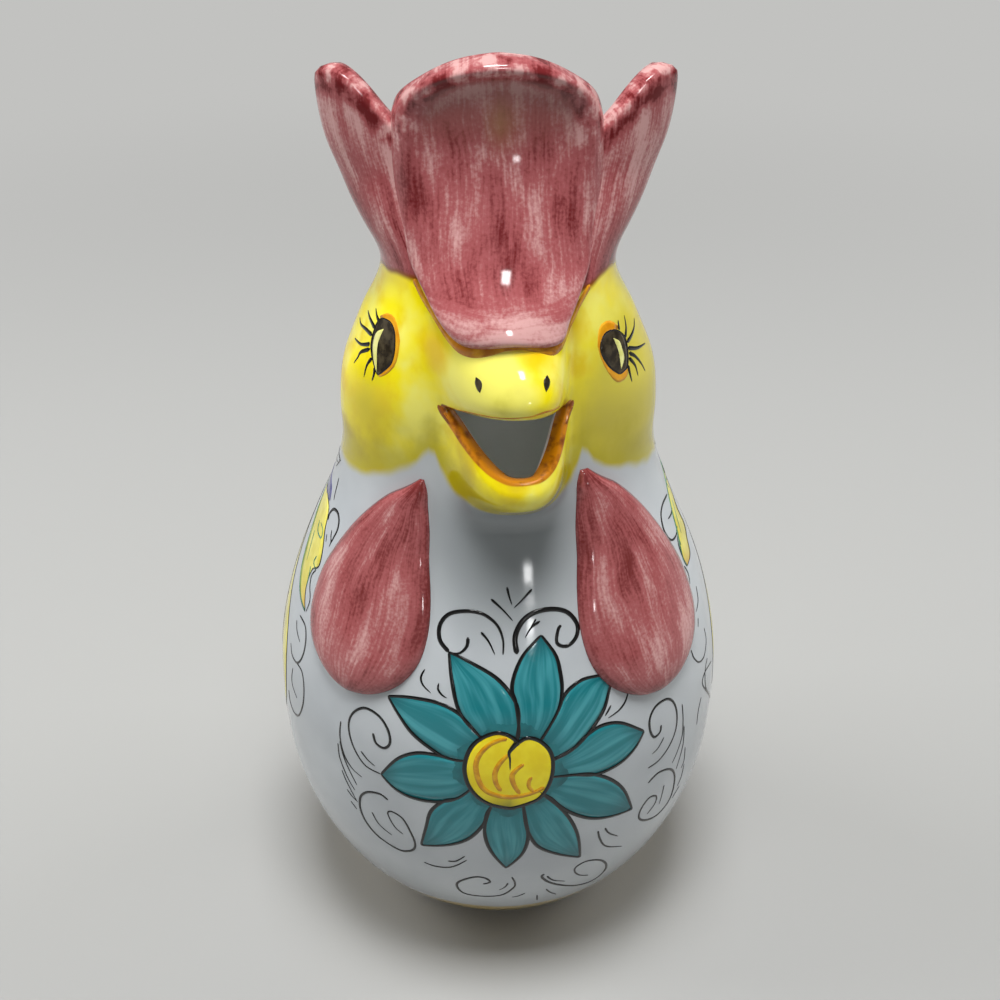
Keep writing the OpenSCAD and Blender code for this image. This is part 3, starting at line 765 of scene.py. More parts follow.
# Name, side, height of the tip, length and extra turn of the inner and outer edge in degrees
WATTLES = [("left", -1, 160, 58.8, -0.6, 0), ("right", 1, 161.8, 62.8, -3.2, -1)]
for side_name, side, wattle_tip_z, wattle_h, inner_turn, outer_turn in WATTLES:
    lobe = bmesh.new()
    bmesh.ops.create_grid(lobe, x_segments=WATTLE_COLUMNS, y_segments=WATTLE_ROWS, size=1)
    layers = glaze_layers(lobe, "load", "grey_and_reflection")
    for vert in lobe.verts:
        across = 0.5 - 0.5 * math.cos(math.pi * (vert.co.x + 1) / 2)
        share = 0.5 - 0.5 * math.cos(math.pi * (vert.co.y + 1) / 2)
        u = side * mix(wattle_turn * curve(WATTLE_INNER, share) + inner_turn,
                       wattle_turn * curve(WATTLE_OUTER, share) + outer_turn, across)
        relief = wattle_relief * math.sqrt(max(0, 1 - abs(2 * share - 1) ** 6))
        dome = max(0, 1 - abs(2 * across - 1) ** 3) ** 0.6
        rim = min(across, 1 - across, share * 2, (1 - share) * 2)
        z = wattle_tip_z - wattle_h * share
        base = skin(u, z, False)
        ahead = skin(u + 0.5, z, False) - base
        above = skin(u, z + 0.5, False) - base
        out = ahead.cross(above).normalized()
        vert.co = (base + out * (relief * dome - (wattle_sunk if rim < 0.001 else 0))) * MM
        width = math.radians(wattle_turn) * wattle_chest_r
        vert[layers["brush"]] = Vector((side * across * width, share * wattle_h, 0))
        vert[layers["grey_and_reflection"]] = wattle_veil
        heart = bell(across - 0.4, 0.25) * bell(share - 0.35, 0.16)
        near_rim = 1 - smooth(rim / 0.22)
        near_tip = 1 - smooth(share / 0.2)
        vert[layers["load"]] = (wattle_load + heart_load * heart + wattle_rim_load * near_rim
                                + wattle_tip_load * near_tip)
    bmesh.ops.remove_doubles(lobe, verts=lobe.verts, dist=0.01 * MM)
    bmesh.ops.recalc_face_normals(lobe, faces=lobe.faces)
    if max(lobe.faces, key=lambda face: face.calc_area()).normal.y > 0:
        bmesh.ops.reverse_faces(lobe, faces=lobe.faces)
    wattle = object_of(lobe, "wattle_" + side_name + "_lobe", [wine_glaze])
    thicken(wattle, "clay", wattle_t)
    soften(wattle, 1)
    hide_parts("wattle_" + side_name)
    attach(wattle, "root")


# Handle
# A loop pulled from a roll of clay and luted to the back of the head and to the belly, thicker at its
# roots, in the brushed yellow of the head.
handle_top_z = 197
handle_low_z = 107
handle_reach = 86
handle_w = 16
handle_t = 11
handle_seat_r = 40
handle_root_depth = 3
root_thickening = 0.35
HANDLE_LINE = [(0.24, 0.9), (0.36, 0.99), (0.5, 1.08), (0.65, 1.1), (0.8, 1.01), (0.9, 0.82), (0.935, 0.6),
               (0.91, 0.38), (0.84, 0.2), (0.74, 0.08), (0.6, -0.02)]
HANDLE_STEPS = 6
HANDLE_COLUMNS = 28


def spline(points, v):
    """Smooth line through points, at parameter v, which counts them."""
    last = len(points) - 1
    i = min(last - 1, max(0, int(v)))
    t = v - i
    a, b, c, d = (Vector(points[min(last, max(0, k))]) for k in (i - 1, i, i + 1, i + 2))
    return 0.5 * (2 * b + (c - a) * t + (2 * a - 5 * b + 4 * c - d) * t ** 2
                  + (3 * b - a - 3 * c + d) * t ** 3)


def spline_way(points, v):
    """Step along such a line round parameter v."""
    return spline(points, min(len(points) - 1, v + 0.05)) - spline(points, max(0, v - 0.05))


last = len(HANDLE_LINE) - 1
loop = turned([(0, -1, row) for row in range(HANDLE_STEPS * last + 1)], HANDLE_COLUMNS)
for vert in loop.verts:
    turn = math.atan2(vert.co.x, -vert.co.y)
    v = vert.co.z / HANDLE_STEPS
    shares = spline(HANDLE_LINE, v)
    way = spline_way(HANDLE_LINE, v)
    way = Vector((way.x * handle_reach, way.y * (handle_top_z - handle_low_z))).normalized()
    size = 1 + root_thickening * abs(2 * v / last - 1) ** 4
    across = size * handle_w / 2 * math.cos(turn)
    out = size * handle_t / 2 * math.sin(turn)
    y = shares.x * handle_reach - way.y * out
    z = mix(handle_low_z, handle_top_z, shares.y) + way.x * out
    behind = 180 - math.degrees(math.asin(across / handle_seat_r))
    y = max(y, skin(behind, z, z > beak_z).y - handle_root_depth)
    vert.co = Vector((across, y, z)) * MM
bmesh.ops.holes_fill(loop, edges=loop.edges, sides=0)
bmesh.ops.recalc_face_normals(loop, faces=loop.faces)

# Brushed lemon yellow, as on the head well above the edge of its yellow.
from_edge_on_handle = 20
yellow_glaze, tree = new_material("brushed_yellow_glaze")
place = glaze_coords(tree)
glaze_shader(tree, place, yellow_brushed(tree, place, from_edge_on_handle))

handle = object_of(loop, "loop_handle", [yellow_glaze])
soften(handle, 1)
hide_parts("handle")
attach(handle, "root")


# Foot
# The foot ring that the pitcher stands on, turned on the wheel, with a shallow recess inside it. It is
# wiped free of glaze before firing, so that it does not stick to the kiln shelf.
FOOT_OUTLINE = [(0, 1.2), (24, 1.2), (26.5, 0.9), (28, 0.25), (29, 0), (32.2, 0), (33.4, 0.4), (33.9, 1.2),
                (33.9, 2.3), (30, 2.5), (0, 2.5)]
FOOT_COLUMNS = 128
ring = turned([(0, -r * MM, z * MM) for r, z in FOOT_OUTLINE], FOOT_COLUMNS)
bmesh.ops.remove_doubles(ring, verts=ring.verts, dist=0.01 * MM)
bmesh.ops.recalc_face_normals(ring, faces=ring.faces)

# Bare fired earthenware: matt and buff, speckled with fine grog of about 0.7 mm.
CLAY_DARK = "B7A06C"
CLAY_LIGHT = "CDBB8C"
bare_clay, tree = new_material("bare_earthenware")
place = glaze_coords(tree)
grog = add(tree, "TexNoise", {"Vector": place, "Scale": 1 / 0.7, "Detail": 4.0})
tone = coat(tree, CLAY_DARK, CLAY_LIGHT, grog, 0.35, 0.7)
bump = add(tree, "Bump", {"Height": grog, "Strength": 0.5, "Distance": 0.2 * MM})
shader = add(tree, "BsdfPrincipled", {"Base Color": tone, "Roughness": 0.75, "IOR": 1.5, "Normal": bump})
add(tree, "OutputMaterial", {"Surface": shader})
foot = object_of(ring, "foot_ring", [bare_clay])
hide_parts("foot")
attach(foot, "root")


# Painted flower
# Ten teal petals round a yellow ball on the belly, as on folk majolica: washes of colour laid on the
# raw glaze with a soft brush, then outlined with a fine black one. The paint fires into the glaze and
# stands a few hundredths of a millimetre proud. Points are pixels of the picture.
paint_t = 0.12
bpy.context.view_layer.update()
outside = bmesh.new()
outside.from_object(body, bpy.context.evaluated_depsgraph_get())
inner_faces = [face for face in outside.faces if face.material_index == 1]
bmesh.ops.delete(outside, geom=inner_faces, context="FACES")
skin_tree = BVHTree.FromBMesh(outside)
outside.free()


def seen_at(x, y):
    """Point of the glaze behind a pixel, or the nearest to it where the pixel lies just outside."""
    way = pixel_ray(x, y)
    hit = skin_tree.ray_cast(camera.location, way)[0]
    if hit is not None:
        return hit
    hit = camera.location + camera_distance * way
    for attempt in range(8):
        hit = skin_tree.find_nearest(hit)[0]
        hit = camera.location + way * (hit - camera.location).dot(way)
    return skin_tree.find_nearest(hit)[0]


def on_skin(pixels):
    """Points of the glaze behind pixels."""
    return [seen_at(x, y) for x, y in pixels]


def new_paint():
    """Empty mesh for one colour of paint."""
    bm = bmesh.new()
    glaze_layers(bm)
    return bm


def painted_grid(bm, columns, rows, place):
    """Patch of paint. place(across, along), both from 0 to 1, gives each point and its lift in mm."""
    made = bmesh.ops.create_grid(bm, x_segments=columns, y_segments=rows, size=1)["verts"]
    brush = bm.verts.layers.float_vector["brush"]
    for vert in made:
        across, along = (vert.co.x + 1) / 2, (vert.co.y + 1) / 2
        point, lift = place(across, along)
        spot, normal = skin_tree.find_nearest(point)[:2]
        vert.co = spot + normal * lift * MM
        vert[brush] = Vector((across, along, 0))
    faces = {face for vert in made for face in vert.link_faces}
    middle = max(faces, key=lambda face: face.calc_area())
    middle.normal_update()
    if middle.normal.dot(skin_tree.find_nearest(middle.calc_center_median())[1]) < 0:
        bmesh.ops.reverse_faces(bm, faces=list(faces))


# A stroke: length of its rows in mm, the share of its width that stays once it is fired, where it is at
# its middle width, the share of its ends that stays blunt, and how far its edges lie under its middle
stroke_row = 0.8
fired_width = 0.86
stroke_middle = 0.45
blunt_end = 0.1
edge_drop = 0.03


def stroke(bm, widths, points, lift=0.1):
    """Brush stroke along points of the glaze, with its widths in mm at the start, middle and end."""
    length = sum((b - a).length for a, b in zip(points, points[1:]))
    rows = max(6, round(length / (stroke_row * MM)))
    last = len(points) - 1
    profile = [(0, widths[0]), (stroke_middle, widths[1]), (1, widths[2])]

    def place(across, along):
        middle = spline(points, along * last)
        normal = skin_tree.find_nearest(middle)[1]
        side = normal.cross(spline_way(points, along * last)).normalized()
        from_end = min(along, 1 - along) * length / MM
        half = fired_width * curve(profile, along) / 2
        half *= math.sqrt(clamp(from_end / half) * (1 - blunt_end) + blunt_end)
        at_edge = across < 0.1 or across > 0.9
        return middle + side * (2 * across - 1) * half * MM, lift - edge_drop if at_edge else lift

    painted_grid(bm, 2, rows, place)


def strokes(bm, rows, onto=on_skin, lift=0.1):
    """Brush strokes from rows of three widths and a line of points, which onto lays on the glaze."""
    for start, middle, end, points in rows:
        stroke(bm, (start, middle, end), onto(points), lift)


def wash(bm, edges, columns, rows, lift, far_lift=None):
    """Patch of colour between two lines of the glaze that run the same way, thinned out to a lower lift."""
    def place(across, along):
        a, b = (spline(edge, along * (len(edge) - 1)) for edge in edges)
        thinned = smooth((across - 0.5) / 0.5)
        return a + (b - a) * across, lift if far_lift is None else mix(lift, far_lift, thinned)

    painted_grid(bm, columns, rows, place)


def outlined(bm, outlines, edges, columns, rows, lift, widths, line_lift=0.1):
    """Wash between two lines of the glaze, with a drawn line along each."""
    wash(bm, edges, columns, rows, lift)
    for edge in edges:
        stroke(outlines, widths, edge, line_lift)


def finish_paint(bm, name, material):
    """Object of one colour of paint."""
    bmesh.ops.remove_doubles(bm, verts=bm.verts, dist=0.002 * MM)
    paint = object_of(bm, name, [material])
    thicken(paint, "coat", paint_t)
    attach(paint, "root")


# Each petal: tip, then its two edges from the tip to the ball
PETALS = [
    ((449, 652), [(452, 681), (460, 713), (480, 737)],
     [(466, 660), (495, 677), (512, 696), (519, 715), (516, 743)]),
    ((541, 635), [(524, 654), (515, 673), (512, 690), (516, 704), (519, 730), (517, 742)],
     [(555, 654), (560, 671), (562, 692), (557, 713), (540, 741)]),
    ((613, 673), [(587, 678), (574, 685), (564, 696), (557, 713), (541, 741)],
     [(609, 690), (603, 711), (587, 735), (572, 750), (552, 761)]),
    ((644, 731), [(622, 723), (603, 725), (587, 735), (572, 749), (552, 759)],
     [(635, 748), (620, 763), (597, 774), (574, 775), (551, 777)]),
    ((632, 809), [(624, 790), (610, 779), (591, 774), (572, 775), (551, 777)],
     [(608, 817), (589, 818), (572, 813), (560, 806), (551, 798), (540, 792)]),
    ((580, 857), [(578, 836), (570, 819), (558, 806), (541, 793)],
     [(558, 854), (539, 847), (530, 836), (525, 821), (523, 803)]),
    ((506, 868), [(493, 854), (486, 840), (485, 825), (492, 804)],
     [(522, 854), (528, 838), (526, 821), (523, 803)]),
    ((421, 845), [(426, 827), (431, 811), (444, 801), (458, 798), (471, 789)],
     [(447, 845), (468, 839), (483, 825), (487, 813), (493, 804)]),
    ((381, 774), [(397, 759), (416, 753), (437, 755), (455, 760), (467, 761)],
     [(393, 787), (408, 796), (428, 801), (447, 801), (460, 797), (471, 789)]),
    ((388, 696), [(408, 697), (435, 702), (455, 711), (468, 723), (481, 738)],
     [(399, 715), (412, 733), (430, 748), (447, 758), (467, 761)]),
]
BALL_LEFT = [(518, 743), (513, 738), (505, 734), (496, 733), (486, 736), (476, 742), (469, 751), (465, 763),
             (465, 774), (469, 786), (478, 797), (490, 804), (502, 807), (509, 808)]
BALL_RIGHT = [(518, 743), (524, 739), (531, 738), (540, 741), (548, 748), (552, 756), (553, 767), (551, 779),
              (546, 790), (538, 799), (526, 804), (516, 807), (511, 808), (509, 808)]
BALL_STROKES = [
    (1.3, 1.8, 1.5, [(507, 739), (500, 740), (489, 745), (480, 754), (476, 764), (477, 775), (481, 785),
                     (488, 792), (500, 796), (512, 797), (525, 795), (537, 791), (544, 787)]),
    (1.2, 1.7, 1.4, [(509, 754), (500, 763), (495, 773), (496, 783), (501, 791)]),
    (1.2, 1.7, 1.3, [(524, 764), (516, 770), (512, 776), (514, 785), (520, 794)]),
    (1.1, 1.3, 1.1, [(532, 777), (529, 781), (529, 787), (534, 792)]),
]
BALL_MIDDLE = [(518, 743), (516, 752), (514, 763), (513, 774), (512, 785), (511, 797), (509, 808)]
BALL_CLEFT = [(519, 741), (513, 747), (509, 753), (510, 759), (510, 770)]
# Middle and half sizes in pixels of the inner and outer edge of the dark skirt round the ball. Its outer
# edge is uneven, as the strokes of the petals ended.
SKIRT_INNER = (509, 771, 42, 34)
SKIRT_OUTER = (510, 768, 58, 47)
SKIRT_STEPS = 48


def brush_run(tree):
    """The brush's own coordinates, and how far it has gone from 0 to 1."""
    brush = add(tree, "Attribute", attribute_name="brush").outputs["Vector"]
    return brush, add(tree, "SeparateXYZ", {0: brush}).outputs["Y"]


def fired_wash(name, full, thin, cloud_mm, pooled=None):
    """Colour fired into the glaze: full and thin patches, and a pool of another colour at its end."""
    material, tree = new_material(name)
    place = glaze_coords(tree)
    cloud = add(tree, "TexNoise", {"Vector": place, "Scale": 1 / cloud_mm, "Detail": 3.0})
    colour = coat(tree, full, thin, cloud, 0.35, 0.68)
    if pooled:
        colour = coat(tree, colour, pooled, brush_run(tree)[1], 0.7, 1.0)
    glaze_shader(tree, place, colour)
    return material


# Teal wash: copper green with a little cobalt, streaked along the brush, and darkest where it set down
# and where it lifted.
TEAL = "1A7A82"
TEAL_THIN = "459CA4"
TEAL_SET_DOWN = "0A5E66"
TEAL_LIFTED = "14686F"
teal_wash, tree = new_material("teal_wash")
place = glaze_coords(tree)
brush, along = brush_run(tree)
streak_map = add(tree, "VectorMath", {0: brush, 1: (5.5, 1.1, 1)}, operation="MULTIPLY")
streak_way = add(tree, "VectorMath", {0: place, 1: (1 / 26, 1 / 26, 1 / 26), 2: streak_map},
                 operation="MULTIPLY_ADD")
streak = add(tree, "TexNoise", {"Vector": streak_way, "Scale": 1.0, "Detail": 2.0})
colour = coat(tree, TEAL, TEAL_THIN, streak, 0.38, 0.68)
colour = coat(tree, colour, TEAL_SET_DOWN, along, 0.3, 0.0)
glaze_shader(tree, place, coat(tree, colour, TEAL_LIFTED, along, 0.72, 1.0))

# Yellow of the flower's ball, olive below where the black ran into it, with ochre brushed over it, and
# the dark teal where many strokes met round it.
ball_wash = fired_wash("yellow_wash", "EDD400", "F8E51C", 6, "8F8A18")
ochre_line = fired_wash("ochre_line", "CC8A00", "E0A80A", 2)
skirt_wash = fired_wash("dark_teal_wash", "0D5C62", "1C7379", 5)

# Manganese black of the outlines, brown where the brush runs dry.
MANGANESE = "070707"
MANGANESE_DRY = "1F1A17"
black_line, tree = new_material("manganese_black_line")
place = glaze_coords(tree)
cloud = add(tree, "TexNoise", {"Vector": place, "Scale": 1 / 1.6, "Detail": 3.0})
dryness = add(tree, "Math", {0: cloud, 1: 0.9, 2: brush_run(tree)[1]}, operation="MULTIPLY_ADD")
glaze_shader(tree, place, coat(tree, MANGANESE, MANGANESE_DRY, dryness, 1.1, 2.0))

teal = new_paint()
lines = new_paint()
for tip, edge_a, edge_b in PETALS:
    outlined(teal, lines, [on_skin([tip] + edge_a), on_skin([tip] + edge_b)], 8, 16, 0.05, (0.8, 1.25, 0.8))
finish_paint(teal, "flower_petals", teal_wash)
skirt = new_paint()
skirt_edges = [[], []]
for k in range(SKIRT_STEPS + 1):
    turn = math.radians(360 / SKIRT_STEPS * k)
    wave = 1 + 0.07 * math.sin(4 * turn + 1) + 0.06 * math.sin(9 * turn)
    for edge, (x, y, half_w, half_h), size in zip(skirt_edges, (SKIRT_INNER, SKIRT_OUTER), (1, wave)):
        edge.append((x + half_w * size * math.cos(turn), y + half_h * size * math.sin(turn)))
wash(skirt, [on_skin(edge) for edge in skirt_edges], 6, 144, 0.06, 0.03)
finish_paint(skirt, "dark_round_the_ball", skirt_wash)
ball = new_paint()
for edges in (BALL_LEFT, BALL_MIDDLE), (BALL_MIDDLE, BALL_RIGHT):
    wash(ball, [on_skin(edge) for edge in edges], 9, 48, 0.09)
finish_paint(ball, "flower_ball", ball_wash)
ochre = new_paint()
strokes(ochre, BALL_STROKES, lift=0.13)
finish_paint(ochre, "ball_strokes", ochre_line)
stroke(lines, (1.3, 1.4, 1.3), on_skin(BALL_LEFT + [(516, 808)]), 0.15)
stroke(lines, (1.3, 1.3, 1.3), on_skin(BALL_RIGHT + [(502, 807)]), 0.15)
stroke(lines, (2.1, 1.1, 0.3), on_skin(BALL_CLEFT), 0.16)
finish_paint(lines, "flower_outlines", black_line)


# Painted scrolls
# Curls and ticks drawn round the flower with a loaded fine brush, thick where it sets down and thin
# where it lifts. Each row has the widths in mm at its start, middle and end, then its pixels.
SCROLLS = [
    # over the flower, left and right
    (1.3, 1.2, 0.5, [(449, 652), (440, 640), (440, 625), (449, 614), (466, 611), (483, 614), (497, 625),
                     (503, 640), (503, 655)]),
    (1.2, 0.9, 0.4, [(468, 637), (467, 646), (460, 653), (452, 653)]),
    (0.9, 0.6, 0.3, [(481, 632), (489, 642), (495, 655)]),
    (1.7, 1.4, 0.9, [(517, 654), (515, 638), (521, 623), (533, 613), (551, 609), (567, 612), (577, 624),
                     (576, 637), (567, 646), (557, 643), (558, 630), (561, 625)]),
    (1.0, 0.6, 0.3, [(540, 621), (531, 628), (525, 638)]),
    (0.6, 0.5, 0.3, [(536, 619), (530, 629)]),
    (0.9, 0.6, 0.3, [(491, 599), (503, 610), (513, 621)]),
    (0.9, 0.6, 0.3, [(507, 587), (509, 596), (512, 605)]),
    (0.9, 0.6, 0.3, [(532, 589), (523, 599), (514, 608)]),
    # ticks between the petals
    (0.5, 0.7, 0.3, [(425, 669), (421, 677), (423, 685), (431, 693)]),
    (0.5, 0.7, 0.3, [(439, 683), (438, 689), (442, 695), (447, 698)]),
    (0.5, 0.7, 0.3, [(629, 689), (625, 702), (618, 711), (608, 718)]),
    (0.5, 0.7, 0.3, [(611, 705), (608, 711), (605, 716)]),
    # left of the flower
    (0.9, 0.9, 0.5, [(373, 733), (376, 743), (384, 748), (390, 743), (388, 730), (379, 716), (365, 708),
                     (354, 712), (349, 722), (350, 736), (356, 752), (366, 766), (381, 774)]),
    (0.7, 0.5, 0.3, [(361, 751), (368, 760), (375, 766)]),
    (0.5, 0.6, 0.3, [(341, 721), (340, 736), (344, 754), (352, 768), (362, 777)]),
    (0.5, 0.6, 0.3, [(340, 741), (345, 760), (357, 785)]),
    (0.5, 0.5, 0.3, [(338, 743), (340, 758), (348, 778), (355, 790)]),
    (0.4, 0.5, 0.3, [(342, 770), (347, 782), (357, 801)]),
    (0.5, 0.5, 0.3, [(347, 789), (352, 796), (358, 802)]),
    (0.5, 0.5, 0.3, [(351, 801), (357, 809)]),
    (0.8, 0.9, 0.4, [(388, 800), (380, 794), (368, 792), (361, 796), (360, 806), (364, 818), (374, 832),
                     (386, 842), (400, 850), (408, 851), (414, 849), (415, 843), (411, 833), (403, 819),
                     (393, 812), (388, 812), (389, 817), (395, 827), (403, 834)]),
    (0.6, 0.5, 0.3, [(372, 812), (379, 824), (392, 835)]),
    # right of the flower
    (0.8, 0.9, 0.5, [(661, 725), (660, 732), (654, 737), (650, 730), (650, 718), (656, 706), (667, 699),
                     (674, 703), (677, 716), (675, 732), (668, 748), (658, 761), (648, 768)]),
    (0.6, 0.5, 0.3, [(664, 737), (658, 748), (652, 754)]),
    (0.5, 0.5, 0.3, [(682, 704), (683, 720), (682, 736), (677, 752), (672, 763)]),
    (0.5, 0.5, 0.3, [(684, 726), (683, 744), (676, 769)]),
    (0.4, 0.5, 0.3, [(685, 747), (684, 760), (681, 768)]),
    (0.4, 0.5, 0.3, [(684, 764), (681, 777), (677, 786)]),
    (0.4, 0.5, 0.3, [(679, 786), (672, 798)]),
    (0.8, 0.9, 0.5, [(648, 783), (658, 773), (669, 769), (674, 773), (674, 784), (669, 800), (658, 814),
                     (646, 820), (639, 818), (641, 809), (649, 798), (656, 796), (655, 803), (647, 814)]),
    (0.6, 0.5, 0.3, [(664, 785), (662, 794), (659, 804)]),
    # under the flower
    (0.7, 0.7, 0.3, [(598, 831), (600, 839), (606, 846), (622, 846)]),
    (0.7, 0.6, 0.3, [(605, 828), (609, 833), (618, 836)]),
    (0.6, 0.7, 0.4, [(424, 862), (435, 866), (451, 867), (467, 860)]),
    (0.7, 0.6, 0.4, [(448, 861), (456, 861), (465, 856)]),
    (0.8, 0.9, 0.6, [(483, 884), (490, 882), (485, 878), (474, 877), (460, 881), (457, 886), (464, 893),
                     (481, 896), (501, 895), (513, 888), (515, 883), (512, 877)]),
    (0.7, 0.5, 0.3, [(508, 883), (505, 887), (499, 890)]),
    (0.5, 0.5, 0.3, [(525, 893), (518, 896), (512, 897)]),
    (0.4, 0.5, 0.3, [(537, 895), (537, 900)]),
    (0.9, 0.9, 0.5, [(544, 874), (542, 877), (549, 882), (562, 885), (578, 885), (593, 880), (604, 871),
                     (606, 864), (600, 860), (587, 861), (576, 867), (575, 872), (580, 875), (588, 875)]),
    (0.7, 0.6, 0.3, [(547, 876), (553, 880), (565, 881)]),
    (0.5, 0.6, 0.3, [(546, 889), (550, 892), (556, 894)]),
]
scrolls = new_paint()
strokes(scrolls, SCROLLS)
finish_paint(scrolls, "scrolls", black_line)


# Painted eyes and nostrils
# Upright black ovals with a pale crescent, an orange ring on the side of the beak, and long lashes, with
# two dark nostrils. The same brushes draw the amber under the comb and the lines of the lips.
EYES = {
    "left": {
        "oval": ([(382, 318), (377, 323), (373, 334), (371, 345), (372, 356), (375, 367), (378, 375)],
                 [(382, 318), (390, 322), (394, 330), (395, 341), (394, 354), (390, 365), (378, 375)]),
        "ring": ([(380, 316), (388, 313), (395, 318), (398, 329), (400, 341), (398, 356), (394, 367),
                  (385, 375), (379, 377)],
                 [(381, 320), (387, 321), (391, 326), (393, 334), (393, 344), (392, 353), (388, 362),
                  (382, 371), (379, 375)]),
        "crescent": ([(384, 329), (377, 332), (374, 340), (373, 349), (374, 361), (377, 373)],
                     [(384, 329), (380, 338), (378, 344), (377, 352), (377, 362), (377, 373)]),
        "lashes": [[(380, 323), (377, 316), (376, 308)], [(375, 328), (370, 318), (368, 310)],
                   [(372, 335), (366, 329), (361, 324), (360, 317)], [(370, 344), (361, 344), (355, 338)],
                   [(370, 349), (361, 352), (358, 357), (354, 363)], [(372, 358), (367, 365), (364, 377)],
                   [(375, 367), (374, 374), (372, 381)]],
    },
    "right": {
        "oval": ([(612, 330), (605, 334), (601, 343), (601, 352), (606, 362), (612, 369), (620, 374)],
                 [(612, 330), (618, 331), (624, 336), (627, 345), (628, 356), (627, 367), (620, 374)]),
        "ring": ([(618, 326), (612, 321), (606, 321), (600, 326), (598, 336), (598, 349), (603, 363),
                  (609, 374), (615, 381), (620, 382), (626, 378), (628, 372)],
                 [(617, 331), (612, 331), (607, 333), (603, 338), (602, 344), (603, 352), (607, 361),
                  (612, 368), (616, 371), (620, 373), (624, 371), (627, 368)]),
        "crescent": ([(613, 338), (616, 345), (619, 354), (620, 362), (621, 369)],
                     [(613, 338), (619, 341), (622, 349), (624, 358), (621, 369)]),
        "lashes": [[(619, 330), (618, 320)], [(625, 338), (626, 327), (624, 315)],
                   [(627, 342), (631, 336), (634, 327), (634, 318)],
                   [(628, 348), (636, 348), (641, 346), (645, 343)],
                   [(629, 353), (635, 356), (641, 363), (645, 371)], [(629, 358), (635, 365), (638, 376)],
                   [(628, 365), (630, 374), (632, 382)]],
    },
}
NOSTRILS = [
    ([(476, 377), (475, 383), (477, 389), (480, 393)], [(476, 377), (481, 381), (482, 387), (480, 393)]),
    ([(547, 375), (544, 380), (544, 386), (546, 392)], [(547, 375), (550, 381), (549, 387), (546, 392)]),
]

# Amber line where the front petal of the comb meets the yellow, and the pool of it on the beak
UNDER_PETAL = [(414, 279), (424, 299), (437, 320), (448, 337), (458, 347), (472, 350), (488, 346), (505, 342),
               (522, 342), (540, 345), (554, 349), (563, 342), (570, 325), (579, 304), (590, 285)]
AMBER_POOL = [(452, 344), (461, 350), (474, 352), (489, 349), (505, 344), (522, 344), (540, 348), (553, 352),
              (563, 345)]
# Thin line along the lower edge of the upper beak
UPPER_LIP = [(447, 409), (462, 411), (480, 415), (497, 418), (513, 418.5), (530, 417), (546, 412), (560, 406)]

# Brown dabs in the corners of the beak
BEAK_CORNERS = [
    [(438, 405), (441, 410), (445, 417), (450, 424)],
    [(573, 400), (571, 407), (569, 415), (566, 424)],
]

# Orange of the rings, pale yellow light in the brown-black pupils, and amber where the glaze pooled
# against the comb, all soft-edged washes; brown, burnt a little, in the corners of the beak.
orange_wash = fired_wash("orange_wash", "D98E0A", "E8A91C", 4)
pale_wash = fired_wash("pale_yellow_wash", "DAD878", "EAE79A", 3)
pupil_wash = fired_wash("brown_black_wash", "241D13", "4A4130", 2.5)
amber_wash = fired_wash("amber_wash", "BE7410", "E0A01A", 4)
brown_wash = fired_wash("brown_wash", "84430A", "B0620C", 2)

rings = new_paint()
pupils = new_paint()
lashes = new_paint()
lights = new_paint()
for eye in EYES.values():
    wash(rings, [on_skin(edge) for edge in eye["ring"]], 4, 16, 0.05)
    wash(pupils, [on_skin(edge) for edge in eye["oval"]], 8, 14, 0.08)
    wash(lights, [on_skin(edge) for edge in eye["crescent"]], 4, 12, 0.11)
    for pixels in eye["lashes"]:
        stroke(lashes, (1.4, 0.95, 0.35), on_skin(pixels), 0.09)
    for pixels in eye["oval"]:
        stroke(lashes, (0.6, 0.6, 0.6), on_skin(pixels))
for edges in NOSTRILS:
    wash(pupils, [on_skin(edge) for edge in edges], 4, 8, 0.08)
finish_paint(rings, "eye_rings", orange_wash)
finish_paint(pupils, "pupils_and_nostrils", pupil_wash)
finish_paint(lashes, "lashes", black_line)
under_petal = new_paint()
stroke(under_petal, (1.6, 2.2, 1.6), on_skin(UNDER_PETAL), 0.06)
stroke(under_petal, (1.2, 4.2, 1.2), on_skin(AMBER_POOL), 0.04)
stroke(under_petal, (0.8, 0.7, 0.8), on_skin(UPPER_LIP), 0.05)
finish_paint(under_petal, "amber_under_the_comb", amber_wash)
dabs = new_paint()
for pixels in BEAK_CORNERS:
    stroke(dabs, (1.0, 1.8, 1.2), on_skin(pixels), 0.06)
finish_paint(dabs, "brown_beak_corners", brown_wash)
finish_paint(lights, "eye_lights", pale_wash)


# Painted wings and tail
# On each side a yellow wing, a ragged yellow leaf and a violet one in front of it, and a chain of curls,
# and under the handle a fan of tail feathers, all washed in and outlined as the flower is. Points are
# angle from the front and height in mm, or pixels of the picture where it shows them.
WING_FRONT = [(104, 134), (96, 120), (87, 108), (79, 97), (75.5, 85), (78, 72), (86, 61), (98, 54)]
WING_BACK = [(104, 134), (117, 128), (129, 116), (136, 101), (136, 85), (129, 69), (115, 57), (98, 54)]
RAGGED_LEAVES = {
    -1: ([(326, 478), (319, 505), (313, 524), (306, 548), (302, 565), (300, 583), (301, 598), (305, 611)],
         [(328, 482), (329, 505), (325, 530), (323, 548), (319, 566), (312, 570), (306, 588), (305, 611)]),
    1: ([(662, 459), (665, 478), (669, 497), (673, 515), (677, 530), (680, 545), (683, 558), (687, 566)],
        [(666, 459), (671, 476), (676, 492), (681, 508), (684, 523), (687, 538), (690, 553), (687, 566)]),
}
